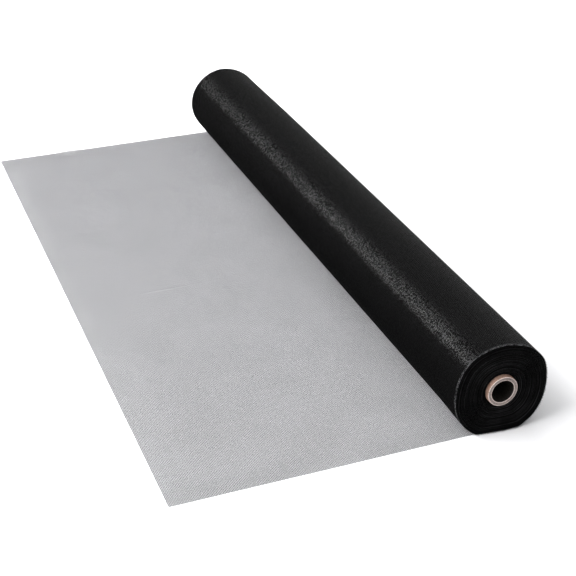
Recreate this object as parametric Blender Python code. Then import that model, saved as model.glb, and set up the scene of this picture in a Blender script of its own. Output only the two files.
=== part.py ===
"""Roll of fiberglass insect screen, its free end drawn out flat over the floor.

The cloth is wound on a cardboard tube and leaves the roll at its foot. All sizes are in
metres, +Z up. The roll's axis runs along +Y, the free end lies towards -X, and the origin
is on the floor below the roll's axis, halfway along the cloth's width.
"""
import math
from collections import namedtuple

import bmesh
import bpy

# Cloth
CLOTH_WIDTH = 0.914             # 36 in, edge to edge
SHEET_THICKNESS = 0.0010
DRAWN_OUT = 0.371               # from the roll's axis to the free edge
UNDER_ROLL = 0.026              # how far the sheet goes on past the axis, under the roll's foot
GAP = 0.0003                    # between pieces that touch

# Roll
ROLL_RADIUS = 0.0557
AXIS_HEIGHT = 0.0500            # less than the radius, because the soft roll settles on its foot
FOOT_HEIGHT = SHEET_THICKNESS + GAP

# Cardboard tube
TUBE_DIAMETER = 0.0360
TUBE_BORE = 0.0270
TUBE_LENGTH = 0.9200
TUBE_OFFSET = (-0.0025, -0.0035, 0.0530)   # its middle: a little off the outline's axis
TUBE_CHAMFER = 0.0004

# Mesh density
TURN_STEPS = 120                # points round the roll
TUBE_STEPS = 72
SIDE_STEPS = 14                 # stretches along the roll's side
SHEET_STEPS_LONG = 64           # along the cloth's width
SHEET_STEPS_SHORT = 28          # from the free edge to under the roll
CLOTH_SHARP_ANGLE = 40          # edges bent more than this stay sharp, degrees
TUBE_SHARP_ANGLE = 30

# A soft swelling of the roll's section: where round it, how high, how wide (degrees)
Swell = namedtuple("Swell", "angle rise spread")
WHOLE_LENGTH_SWELLS = (
    Swell(-50, 0.0012, 24),     # the roll's weight pushes its lower flanks out
    Swell(-124, 0.0008, 12),
    Swell(6, -0.0009, 22),
)
NEAR_END_SWELLS = (
    Swell(133, 0.0030, 17),     # the last turns stand loose at the near end
    Swell(80, 0.0006, 20),
    Swell(40, 0.0008, 16),
    Swell(6, -0.0010, 20),
    Swell(-52, 0.0012, 22),
)
FAR_END_SWELLS = (
    Swell(60, 0.0010, 30),
    Swell(160, 0.0008, 26),
)
NEAR_END_REACH = 0.075          # how far along the roll the loosened turns fade out
FAR_END_REACH = 0.060

# How far the turns slid sideways while they were wound: share of the way from tube to last
# turn, mean shift along Y, how much the shift sways once round the turn, and how deep the
# turn lies back in the slack that opens at the near end
Wind = namedtuple("Wind", "share shift sway slack")
WINDS = (
    Wind(0.000, -0.0026, 0.0000, 0.0000),
    Wind(0.050, -0.0033, 0.0003, 0.0000),
    Wind(0.160, -0.0026, 0.0007, 0.0000),
    Wind(0.270, -0.0034, 0.0009, 0.0000),
    Wind(0.400, -0.0024, 0.0014, 0.0000),
    Wind(0.520, -0.0031, 0.0017, 0.0000),
    Wind(0.660, -0.0022, 0.0021, 0.0000),
    Wind(0.790, -0.0026, 0.0024, 0.0000),
    Wind(0.880, -0.0017, 0.0026, 0.0000),
    Wind(0.905, -0.0014, 0.0027, 0.0034),
    Wind(0.945, -0.0006, 0.0028, 0.0040),
    Wind(0.968, 0.0004, 0.0030, 0.0000),
    Wind(1.000, 0.0006, 0.0030, 0.0000),
)
SWAY_PEAK = 130                 # where round the turn the sway is strongest, degrees
SLACK_SPREAD = 48               # how far the slack reaches either way from there, degrees
FAR_SWAY_SHARE = 0.3            # the far end was wound straighter

# A soft lift of the drawn-out sheet: its middle, its half widths, its height, and the turn
# of its long axis away from X (degrees)
Lift = namedtuple("Lift", "x y half_x half_y rise turn")
SHEET_LIFTS = (
    Lift(-0.262, 0.457, 0.022, 0.050, 0.0020, 0),       # small ripple at the far edge
    Lift(-0.205, -0.026, 0.230, 0.006, 0.0008, 0),      # faint straight crease across
    Lift(-0.330, 0.250, 0.070, 0.030, 0.0008, 12),
    Lift(-0.150, 0.140, 0.110, 0.018, 0.0007, -8),
    Lift(-0.230, -0.250, 0.090, 0.022, 0.0008, 7),
    Lift(-0.371, 0.060, 0.030, 0.090, 0.0009, 0),       # the free edge waves a little
    Lift(-0.371, -0.330, 0.026, 0.060, 0.0007, 0),
)
LIFTS_END_FROM = -0.120         # the lifts die away from here towards the roll
LIFTS_END_AT = -0.060           # and from here on the roll's weight holds the sheet flat
SHEET_HUGS_BELOW = 0.0002       # a lift lower than this sinks flat to the floor

# Colours: red, green, blue, then roughness
SCREEN_BLACK = (0.012, 0.012, 0.014, 0.50)
SHEET_GREY = (0.030, 0.030, 0.033, 0.55)
CARDBOARD_TAN = (0.430, 0.320, 0.255, 0.85)


def clear_scene():
    """Remove every object of the open scene."""
    for item in list(bpy.data.objects):
        bpy.data.objects.remove(item, do_unlink=True)


def make_material(name, finish):
    """Return a Principled material with the finish's colour and roughness."""
    red, green, blue, roughness = finish
    material = bpy.data.materials.new(name)
    material.use_nodes = True
    shader = material.node_tree.nodes["Principled BSDF"]
    shader.inputs["Base Color"].default_value = (red, green, blue, 1.0)
    shader.inputs["Roughness"].default_value = roughness
    shader.inputs["Metallic"].default_value = 0.0
    material.diffuse_color = (red, green, blue, 1.0)
    return material


def add_object(name, mesh_builder, material, sharp_angle):
    """Link an object named name that holds the built mesh, shaded smooth up to an angle."""
    mesh = bpy.data.meshes.new(name)
    bmesh.ops.recalc_face_normals(mesh_builder, faces=mesh_builder.faces[:])
    mesh_builder.to_mesh(mesh)
    mesh_builder.free()
    mesh.shade_smooth()
    mesh.set_sharp_from_angle(angle=math.radians(sharp_angle))
    mesh.materials.append(material)
    item = bpy.data.objects.new(name, mesh)
    bpy.context.scene.collection.objects.link(item)
    return item


def bridge_loops(builder, loops):
    """Join closed loops of equal length by quads, the last one back to the first."""
    rings = [[builder.verts.new(point) for point in loop] for loop in loops]
    for ring, after in zip(rings, rings[1:] + rings[:1]):
        count = len(ring)
        for step in range(count):
            next_step = (step + 1) % count
            builder.faces.new((ring[step], ring[next_step], after[next_step], after[step]))


def smooth_fade(value):
    """Return 1 at value 0, 0 from value 1 on, and a smooth fall between."""
    held = min(max(value, 0.0), 1.0)
    return 1.0 - held * held * (3.0 - 2.0 * held)


def swell_rise(swells, angle):
    """Return how far the swellings push the section out at an angle in degrees."""
    rise = 0.0
    for swell in swells:
        apart = (angle - swell.angle + 180.0) % 360.0 - 180.0
        rise += swell.rise * math.exp(-((apart / swell.spread) ** 2))
    return rise


def roll_outline(angle, along):
    """Return (x, z) of the roll's outer surface at an angle, at a place along Y."""
    near_weight = smooth_fade((along + CLOTH_WIDTH / 2) / NEAR_END_REACH)
    far_weight = smooth_fade((CLOTH_WIDTH / 2 - along) / FAR_END_REACH)
    radius = ROLL_RADIUS + swell_rise(WHOLE_LENGTH_SWELLS, angle)
    radius += near_weight * swell_rise(NEAR_END_SWELLS, angle)
    radius += far_weight * swell_rise(FAR_END_SWELLS, angle)
    turn = math.radians(angle)
    height = AXIS_HEIGHT + radius * math.sin(turn)
    return radius * math.cos(turn), max(height, FOOT_HEIGHT)


def tube_outline(angle):
    """Return (x, z) of the innermost turn, which hugs the tube."""
    radius = TUBE_DIAMETER / 2 + GAP
    turn = math.radians(angle)
    return TUBE_OFFSET[0] + radius * math.cos(turn), TUBE_OFFSET[2] + radius * math.sin(turn)


def wound_loop(share, along, sideways):
    """Return one closed loop of points of the winding.

    share runs from 0 on the tube to 1 on the last turn, along is the place along Y, and
    sideways gives the extra shift along Y for an angle in degrees.
    """
    points = []
    for step in range(TURN_STEPS):
        angle = 360.0 * step / TURN_STEPS
        inner_x, inner_z = tube_outline(angle)
        outer_x, outer_z = roll_outline(angle, along)
        x = inner_x + share * (outer_x - inner_x)
        z = inner_z + share * (outer_z - inner_z)
        points.append((x, along + sideways(angle), z))
    return points


def near_shift(wind):
    """Return a turn's shift along Y at the near end, as a function of the angle in degrees."""
    def shift_at(angle):
        apart = (angle - SWAY_PEAK + 180.0) % 360.0 - 180.0
        sway = wind.sway * math.cos(math.radians(apart))
        return wind.shift + sway + wind.slack * math.exp(-((apart / SLACK_SPREAD) ** 2))
    return shift_at


def far_shift(wind):
    """Return a turn's shift along Y at the far end, as a function of the angle in degrees."""
    def shift_at(angle):
        sway = wind.sway * math.cos(math.radians(angle - SWAY_PEAK))
        return wind.shift + FAR_SWAY_SHARE * sway
    return shift_at


def build_roll(material):
    """Make the wound cloth: two uneven end faces, the side, and the hole for the tube."""
    near, far = -CLOTH_WIDTH / 2, CLOTH_WIDTH / 2
    loops = [wound_loop(wind.share, near, near_shift(wind)) for wind in WINDS]
    for step in range(1, SIDE_STEPS):
        share = step / SIDE_STEPS
        eased = 0.5 - 0.5 * math.cos(math.pi * share)
        loops.append(wound_loop(1.0, near + eased * (far - near), lambda angle: 0.0))
    loops += [wound_loop(wind.share, far, far_shift(wind)) for wind in reversed(WINDS)]
    builder = bmesh.new()
    bridge_loops(builder, loops)
    return add_object("wound_roll", builder, material, CLOTH_SHARP_ANGLE)


def build_tube(material):
    """Make the cardboard tube, a turned ring section with its cut edges just broken."""
    outer, inner = TUBE_DIAMETER / 2, TUBE_BORE / 2
    half = TUBE_LENGTH / 2
    bevel = TUBE_CHAMFER
    section = (
        (inner, -half + bevel), (inner + bevel, -half), (outer - bevel, -half),
        (outer, -half + bevel), (outer, half - bevel), (outer - bevel, half),
        (inner + bevel, half), (inner, half - bevel),
    )
    loops = []
    for radius, along in section:
        loop = []
        for step in range(TUBE_STEPS):
            turn = math.tau * step / TUBE_STEPS
            loop.append((radius * math.cos(turn), along, radius * math.sin(turn)))
        loops.append(loop)
    builder = bmesh.new()
    bridge_loops(builder, loops)
    tube = add_object("core_tube", builder, material, TUBE_SHARP_ANGLE)
    tube.location = TUBE_OFFSET
    return tube


def sheet_lift(x, y):
    """Return how high the drawn-out sheet stands off the floor at a place."""
    height = 0.0
    for lift in SHEET_LIFTS:
        turn = math.radians(lift.turn)
        along = (x - lift.x) * math.cos(turn) + (y - lift.y) * math.sin(turn)
        across = (y - lift.y) * math.cos(turn) - (x - lift.x) * math.sin(turn)
        spread = (along / lift.half_x) ** 2 + (across / lift.half_y) ** 2
        height += lift.rise * math.exp(-spread)
    return max(height - SHEET_HUGS_BELOW, 0.0)


def build_sheet(material):
    """Make the drawn-out cloth: a thin sheet with its soft lifts, held flat by the roll."""
    builder = bmesh.new()
    free_edge, hidden_edge = -DRAWN_OUT, UNDER_ROLL
    layers = []
    for base in (0.0, SHEET_THICKNESS):
        rows = []
        for row in range(SHEET_STEPS_SHORT + 1):
            x = free_edge + (hidden_edge - free_edge) * row / SHEET_STEPS_SHORT
            held = smooth_fade((x - LIFTS_END_FROM) / (LIFTS_END_AT - LIFTS_END_FROM))
            line = []
            for step in range(SHEET_STEPS_LONG + 1):
                y = CLOTH_WIDTH * (step / SHEET_STEPS_LONG - 0.5)
                lift = held * sheet_lift(x, y)
                line.append(builder.verts.new((x, y, base + lift)))
            rows.append(line)
        layers.append(rows)
    for rows in layers:
        for row, after in zip(rows, rows[1:]):
            for step in range(SHEET_STEPS_LONG):
                builder.faces.new((row[step], row[step + 1], after[step + 1], after[step]))
    for low, high in zip(rim_of(layers[0]), rim_of(layers[1])):
        builder.faces.new((low[0], low[1], high[1], high[0]))
    return add_object("loose_sheet", builder, material, CLOTH_SHARP_ANGLE)


def rim_of(rows):
    """Return the edge pairs once round a grid of vertices."""
    rim = list(rows[0])
    rim += [row[-1] for row in rows[1:]]
    rim += list(reversed(rows[-1]))[1:]
    rim += [row[0] for row in reversed(rows)][1:-1]
    return list(zip(rim, rim[1:] + rim[:1]))


def main():
    """Build the tube, the roll and the drawn-out sheet."""
    clear_scene()
    build_tube(make_material("tube_cardboard", CARDBOARD_TAN))
    build_roll(make_material("screen_cloth_wound", SCREEN_BLACK))
    build_sheet(make_material("screen_cloth_loose", SHEET_GREY))


main()
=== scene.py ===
"""Roll of black fiberglass insect screen on a cardboard tube, its free end drawn out flat.

All sizes are in metres, +Z up. The roll's axis runs along +Y, the free end lies towards -X,
and angles round the roll are in degrees from +X towards +Z. The cloth is a mesh of coated
glass yarns, so the drawn-out sheet and the roll's last turn are built yarn by yarn, and the
turns below show as a spiral at both ends of the roll.
"""
from __future__ import annotations

import logging
import math
from dataclasses import dataclass, replace
from enum import Enum
from typing import Any, Sequence

import bmesh
import bpy
import numpy as np
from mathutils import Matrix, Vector


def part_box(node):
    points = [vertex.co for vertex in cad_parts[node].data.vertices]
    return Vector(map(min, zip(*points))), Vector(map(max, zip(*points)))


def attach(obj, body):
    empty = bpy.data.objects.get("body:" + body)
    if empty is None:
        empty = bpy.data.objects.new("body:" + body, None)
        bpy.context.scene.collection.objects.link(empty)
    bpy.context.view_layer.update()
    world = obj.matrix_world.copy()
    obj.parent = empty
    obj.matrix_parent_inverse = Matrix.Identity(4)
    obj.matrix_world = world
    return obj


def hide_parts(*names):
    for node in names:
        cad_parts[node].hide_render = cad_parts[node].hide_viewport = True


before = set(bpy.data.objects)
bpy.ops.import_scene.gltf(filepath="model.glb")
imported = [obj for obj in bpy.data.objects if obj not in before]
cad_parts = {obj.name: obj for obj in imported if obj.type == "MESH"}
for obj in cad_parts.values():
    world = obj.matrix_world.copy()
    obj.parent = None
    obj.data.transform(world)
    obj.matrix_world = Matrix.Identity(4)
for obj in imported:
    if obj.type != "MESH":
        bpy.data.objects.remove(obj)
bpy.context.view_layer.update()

Array = np.ndarray
Socket = bpy.types.NodeSocket
WEAVE_MAP = "weave"
BARED_AND_LIT = "bared_and_lit"
MM = 0.001
FOOT_ANGLE = -90.0
NODE_GAPS = (180.0, -160.0)
NODES_IN_A_ROW = 9

log = logging.getLogger("insect_screen")


class RollEnd(Enum):
    """The two ends of the roll, by the sign of Y."""

    NEAR = -1
    FAR = 1


class Reach(Enum):
    """Which part of the roll's length a swelling belongs to."""

    WHOLE = "whole"
    NEAR = "near"
    FAR = "far"


def smooth_fade(value: Array | float) -> Array:
    """Fade smoothly from 1 to 0.

    Args:
        value: 0 or less where the result is 1, and 1 or more where it is 0.

    Returns:
        The faded weight, of the same shape.
    """
    held = np.clip(value, 0.0, 1.0)
    return 1.0 - held * held * (3.0 - 2.0 * held)


def fade_between(value: Array, start: float, stop: float) -> Array:
    """Fade smoothly from 1 at start to 0 at stop."""
    return smooth_fade((value - start) / (stop - start))


def degrees_apart(angle: Array, other: float) -> Array:
    """Return the signed turn from other to angle, between -180 and 180 degrees."""
    return (angle - other + 180.0) % 360.0 - 180.0


@dataclass(frozen=True)
class Swell:
    """A soft swelling of the roll's section.

    Attributes:
        reach: which part of the length it belongs to.
        angle: where round the roll its middle is, in degrees.
        rise: how far it stands out.
        spread: how wide it is, in degrees.
    """

    reach: Reach
    angle: float
    rise: float
    spread: float


@dataclass(frozen=True)
class Slide:
    """How far the turns slid sideways while they were wound.

    Attributes:
        share: place between the tube, 0, and the last turn, 1.
        shift: mean shift along Y.
        sway: how much the shift sways once round the turn.
    """

    share: float
    shift: float
    sway: float


SWELLS = (
    Swell(Reach.WHOLE, -50, 1.2 * MM, 24),
    Swell(Reach.WHOLE, -124, 0.8 * MM, 12),
    Swell(Reach.WHOLE, 6, -0.9 * MM, 22),
    Swell(Reach.WHOLE, 46, 0.95 * MM, 22),
    Swell(Reach.WHOLE, 212, -0.85 * MM, 20),
    Swell(Reach.NEAR, 133, 2.7 * MM, 24),
    Swell(Reach.NEAR, 80, 0.6 * MM, 20),
    Swell(Reach.NEAR, 212, 1.3 * MM, 20),
    Swell(Reach.NEAR, 40, -0.4 * MM, 16),
    Swell(Reach.NEAR, 30, 0.8 * MM, 12),
    Swell(Reach.NEAR, -10, -1.2 * MM, 20),
    Swell(Reach.NEAR, -46, -1.1 * MM, 28),
    Swell(Reach.NEAR, -58, -1.3 * MM, 9),
    Swell(Reach.FAR, 60, -1.6 * MM, 30),
    Swell(Reach.FAR, 160, 0.4 * MM, 26),
    Swell(Reach.FAR, 212, -0.1 * MM, 20),
)
SLIDES = (
    Slide(0.00, -0.9 * MM, 0.0 * MM),
    Slide(0.05, -1.6 * MM, 0.3 * MM),
    Slide(0.16, -2.3 * MM, 0.7 * MM),
    Slide(0.27, -3.2 * MM, 0.9 * MM),
    Slide(0.40, -2.4 * MM, 1.4 * MM),
    Slide(0.52, -3.1 * MM, 1.7 * MM),
    Slide(0.66, -2.2 * MM, 2.1 * MM),
    Slide(0.79, -2.6 * MM, 2.4 * MM),
    Slide(0.88, -1.8 * MM, 2.3 * MM),
    Slide(0.94, -1.0 * MM, 2.3 * MM),
    Slide(1.00, 0.0 * MM, 2.4 * MM),
)


@dataclass(frozen=True)
class RollForm:
    """The wound shape that every piece of the roll follows.

    Attributes:
        cloth_width: the cloth's width, edge to edge along Y.
        tube_centre: x and z of the tube's axis.
        tube_radius: the tube's outer radius.
        radius: the roll's radius before its swellings.
        axis_height: height of the outline's axis over the floor.
        foot_height: height of the flat foot's lowest yarns.
        near_reach: how far along the roll the near end's swellings fade out.
        far_reach: the same for the far end.
        sway_peak: where round the turn the sideways sway is strongest.
        far_sway_share: the far end's share of that sway.
        foot_slide: how much further the near end's turns slid out at the foot.
        foot_middle: where round the turn that is strongest.
        foot_spread: how wide it is, in degrees.
        slack: how far the last turns stand off the winding at the near end.
        slack_reach: how far along the roll that slack closes.
        slack_opens: the angles where that slack begins and where it is full.
        slack_closes: the angles where it begins to close and where it is shut.
    """

    cloth_width: float
    tube_centre: tuple[float, float]
    tube_radius: float
    radius: float = 55.7 * MM
    axis_height: float = 50.0 * MM
    foot_height: float = 0.80 * MM
    near_reach: float = 75.0 * MM
    far_reach: float = 200.0 * MM
    sway_peak: float = 130.0
    far_sway_share: float = 0.3
    foot_slide: float = 3.2 * MM
    foot_middle: float = -84.0
    foot_spread: float = 34.0
    slack: float = 3.0 * MM
    slack_reach: float = 48.0 * MM
    slack_opens: tuple[float, float] = (42.0, 78.0)
    slack_closes: tuple[float, float] = (168.0, 216.0)

    @classmethod
    def from_frame(cls) -> RollForm:
        """Return the form with the cloth's and the tube's sizes read from the frame.

        Returns:
            The form.
        """
        sheet_low, sheet_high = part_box("loose_sheet")
        tube_low, tube_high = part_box("core_tube")
        middle_x = (tube_low[0] + tube_high[0]) / 2
        middle_z = (tube_low[2] + tube_high[2]) / 2
        return cls(
            cloth_width=sheet_high[1] - sheet_low[1],
            tube_centre=(middle_x, middle_z),
            tube_radius=(tube_high[2] - tube_low[2]) / 2,
        )

    def skin(self, angle: Array, along: Array, under: Array | float = 0.0) -> Array:
        """Find the roll's surface.

        Args:
            angle: where round the roll, in degrees.
            along: the place along Y.
            under: how deep below the outermost yarns.

        Returns:
            x and z, stacked in the last axis.
        """
        half = self.cloth_width / 2
        weights = {
            Reach.WHOLE: 1.0,
            Reach.NEAR: smooth_fade((along + half) / self.near_reach),
            Reach.FAR: smooth_fade((half - along) / self.far_reach),
        }
        radius = self.radius - under
        for swell in SWELLS:
            apart = degrees_apart(angle, swell.angle)
            radius = radius + weights[swell.reach] * swell.rise * np.exp(-((apart / swell.spread) ** 2))
        turn = np.radians(angle)
        height = self.axis_height + radius * np.sin(turn)
        return np.stack([radius * np.cos(turn), np.maximum(height, self.foot_height + under)], axis=-1)

    def slack_gap(self, angle: Array, along: Array) -> Array:
        """Return how far the last turns stand off the winding at a place.

        Args:
            angle: where round the roll, in degrees.
            along: the place along Y.

        Returns:
            The gap.
        """
        turn = (angle - FOOT_ANGLE) % 360.0 + FOOT_ANGLE
        opening = 1.0 - fade_between(turn, *self.slack_opens)
        closing = fade_between(turn, *self.slack_closes)
        lengthwise = smooth_fade((along + self.cloth_width / 2) / self.slack_reach)
        return self.slack * opening * closing * lengthwise

    def edge(self, end: RollEnd, share: Array | float, angle: Array) -> Array:
        """Find where the turns' cut edges lie along Y.

        Args:
            end: which end of the roll.
            share: place between the tube, 0, and the last turn, 1.
            angle: where round the roll, in degrees.

        Returns:
            The place along Y.
        """
        shares = [slide.share for slide in SLIDES]
        shift = np.interp(share, shares, [slide.shift for slide in SLIDES])
        sway = np.interp(share, shares, [slide.sway for slide in SLIDES])
        foot = np.exp(-((degrees_apart(angle, self.foot_middle) / self.foot_spread) ** 2))
        slid = self.foot_slide * foot * np.asarray(share) ** 3
        if end is RollEnd.FAR:
            sway, slid = sway * self.far_sway_share, 0.0 * slid
        swayed = sway * np.cos(np.radians(angle - self.sway_peak))
        return end.value * self.cloth_width / 2 + shift + swayed - slid

    def across(self, part: Array, angle: Array, share: Array | float = 1.0) -> Array:
        """Return the place along Y at a part, 0 to 1, of the way from near edge to far edge."""
        near, far = (self.edge(end, share, angle) for end in RollEnd)
        return near + part * (far - near)


@dataclass(frozen=True)
class Yarns:
    """The screen cloth's coated yarns.

    Attributes:
        width: a yarn's width, along the cloth.
        height: its height, off the cloth.
        across_pitch: spacing of the yarns that run round the roll.
        along_pitch: spacing of the yarns that run along the roll.
        overhang: how far a yarn's cut end stands out of the cloth's edge.
    """

    width: float = 0.28 * MM
    height: float = 0.26 * MM
    across_pitch: float = 1.411 * MM
    along_pitch: float = 1.588 * MM
    overhang: float = 0.70 * MM


@dataclass(frozen=True)
class MeshPart:
    """Vertices, four-sided faces and their map corners, ready to be joined.

    Attributes:
        vertices: one row for each vertex.
        faces: one row of four vertex numbers for each face.
        corners: one row of u and v for each face corner, in the faces' order.
        weave: for each face corner, the yarns crossed so far and the place round the yarn.
        finishes: the number of each face's finish.
        smooth: whether each face is shaded smooth.
    """

    vertices: Array
    faces: Array
    corners: Array
    weave: Array
    finishes: Array
    smooth: Array

    def dressed(self, finish: int) -> MeshPart:
        """Return the part with all its faces in one finish."""
        return replace(self, finishes=np.full(len(self.faces), finish))

    def flat(self) -> MeshPart:
        """Return the part with all its faces shaded flat."""
        return replace(self, smooth=np.zeros(len(self.faces), dtype=bool))


def sweep_yarns(paths: Array, outward: Array, sideways: Array, phases: Array, yarns: Yarns) -> MeshPart:
    """Sweep a yarn's four-cornered section along many paths at once.

    A path is a loop where it has as many points as stretches between phases, and is capped otherwise.

    Args:
        paths: yarns, points and x, y, z of the yarns' undersides.
        outward: the direction off the cloth at each point.
        sideways: the direction across the yarn at each point.
        phases: yarns crossed so far at each point, and at a loop's first point again; odd is under.
        yarns: the yarn's sizes.

    Returns:
        The yarns as one part, each on its own strip of the map.
    """
    count, points = paths.shape[:2]
    half = yarns.width / 2
    section = ((-half, 0.0), (-half, yarns.height), (half, yarns.height), (half, 0.0))
    rings = [paths + side * sideways + rise * outward for side, rise in section]
    vertices = np.stack(rings, axis=2).reshape(-1, 3)
    steps = phases.shape[1] - 1
    yarn = np.arange(count)[:, None, None]
    step = np.arange(steps)[None, :, None]
    corner = np.arange(4)[None, None, :]
    next_step = (step + 1) % points
    next_corner = (corner + 1) % 4
    base = yarn * points
    quads = [
        (base + step) * 4 + corner,
        (base + step) * 4 + next_corner,
        (base + next_step) * 4 + next_corner,
        (base + next_step) * 4 + corner,
    ]
    faces = np.stack(np.broadcast_arrays(*quads), axis=-1).reshape(-1, 4)
    low, high = (yarn + corner / 4) / count, (yarn + (corner + 1) / 4) / count
    start, stop = step / steps, (step + 1) / steps
    corners = corner_rows([(start, low), (start, high), (stop, high), (stop, low)])
    before, after = phases[:, :-1, None], phases[:, 1:, None]
    low, high = corner / 4, (corner + 1) / 4
    weave = corner_rows([(before, low), (before, high), (after, high), (after, low)])
    if points > steps:
        first = np.arange(count)[:, None] * points * 4
        caps = np.concatenate([first + [3, 2, 1, 0], first + (points - 1) * 4 + [0, 1, 2, 3]])
        strip = np.tile(np.arange(count)[:, None], (2, 4)) / count
        cap_v = strip + np.array([0.1, 0.3, 0.6, 0.9]) / count
        cap_u = np.repeat([[0.0, 0.002, 0.002, 0.0], [0.998, 1.0, 1.0, 0.998]], count, axis=0)
        ends = np.concatenate([np.repeat(phases[:, [0]], 4, axis=1), np.repeat(phases[:, [-1]], 4, axis=1)])
        faces = np.concatenate([faces, caps])
        corners = np.concatenate([corners, np.stack([cap_u, cap_v], axis=-1).reshape(-1, 2)])
        weave = np.concatenate([weave, np.stack([ends, np.full_like(ends, 0.5)], axis=-1).reshape(-1, 2)])
    plain = np.zeros(len(faces), dtype=int)
    along = np.arange(len(faces)) < count * steps * 4
    return MeshPart(vertices, faces, corners, weave, plain, along)


def corner_rows(marks: Sequence[tuple[Array, Array]]) -> Array:
    """Return one row of u and v for each face corner, from the four corners' u and v."""
    rows = np.broadcast_arrays(*(value for mark in marks for value in mark))
    return np.stack(rows, axis=-1).reshape(-1, 2)


def join_parts(parts: Sequence[MeshPart]) -> MeshPart:
    """Join parts into one, side by side on the map.

    Args:
        parts: the parts, from the map's left to its right.

    Returns:
        The joined part, with its faces turned to face out.
    """
    vertices, faces, corners, weave = [], [], [], []
    offset = 0
    for place, part in enumerate(parts):
        quads = part.vertices[part.faces]
        crossed = np.cross(quads[:, 2] - quads[:, 0], quads[:, 3] - quads[:, 1])
        volume = np.einsum("ij,ij->", quads.mean(axis=1), crossed)
        order = [0, 1, 2, 3] if volume > 0 else [3, 2, 1, 0]
        marks = part.corners.reshape(-1, 4, 2)[:, order].copy()
        marks[..., 0] = (place + 0.01 + 0.98 * marks[..., 0]) / len(parts)
        vertices.append(part.vertices)
        faces.append(part.faces[:, order] + offset)
        corners.append(marks.reshape(-1, 2))
        weave.append(part.weave.reshape(-1, 4, 2)[:, order].reshape(-1, 2))
        offset += len(part.vertices)
    return MeshPart(
        np.concatenate(vertices),
        np.concatenate(faces),
        np.concatenate(corners),
        np.concatenate(weave),
        np.concatenate([part.finishes for part in parts]),
        np.concatenate([part.smooth for part in parts]),
    )


def add_piece(
    name: str, mesh: bpy.types.Mesh, finishes: Sequence[bpy.types.Material]
) -> bpy.types.Object:
    """Link a new object that holds the mesh and wears the finishes.

    Args:
        name: the piece's name.
        mesh: its mesh.
        finishes: its materials, in the order of the mesh's material numbers.

    Returns:
        The new piece.
    """
    for finish in finishes:
        mesh.materials.append(finish)
    piece = bpy.data.objects.new(name, mesh)
    bpy.context.scene.collection.objects.link(piece)
    return piece


def smooth_mesh(mesh: bpy.types.Mesh, builder: bmesh.types.BMesh, sharp_from: float) -> None:
    """Turn a builder's faces out and send it to a mesh.

    Args:
        mesh: the mesh that takes the builder's faces, shaded smooth.
        builder: the finished builder, which is freed.
        sharp_from: the turn between two faces, in degrees, from which their edge is sharp.
    """
    bmesh.ops.recalc_face_normals(builder, faces=builder.faces[:])
    builder.to_mesh(mesh)
    builder.free()
    mesh.shade_smooth()
    mesh.set_sharp_from_angle(angle=math.radians(sharp_from))


def mesh_of(name: str, part: MeshPart) -> bpy.types.Mesh:
    """Make a Blender mesh with its two maps from a part.

    Args:
        name: the mesh's name.
        part: its vertices, faces, maps and finishes.

    Returns:
        The mesh.
    """
    mesh = bpy.data.meshes.new(name)
    mesh.from_pydata(part.vertices.tolist(), [], part.faces.tolist())
    for map_name, rows in (("OFBake", part.corners), (WEAVE_MAP, part.weave)):
        layer = mesh.uv_layers.new(name=map_name)
        layer.data.foreach_set("uv", rows.astype(np.float32).ravel())
    mesh.polygons.foreach_set("material_index", part.finishes.astype(np.int32))
    mesh.polygons.foreach_set("use_smooth", part.smooth)
    mesh.update()
    return mesh


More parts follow.
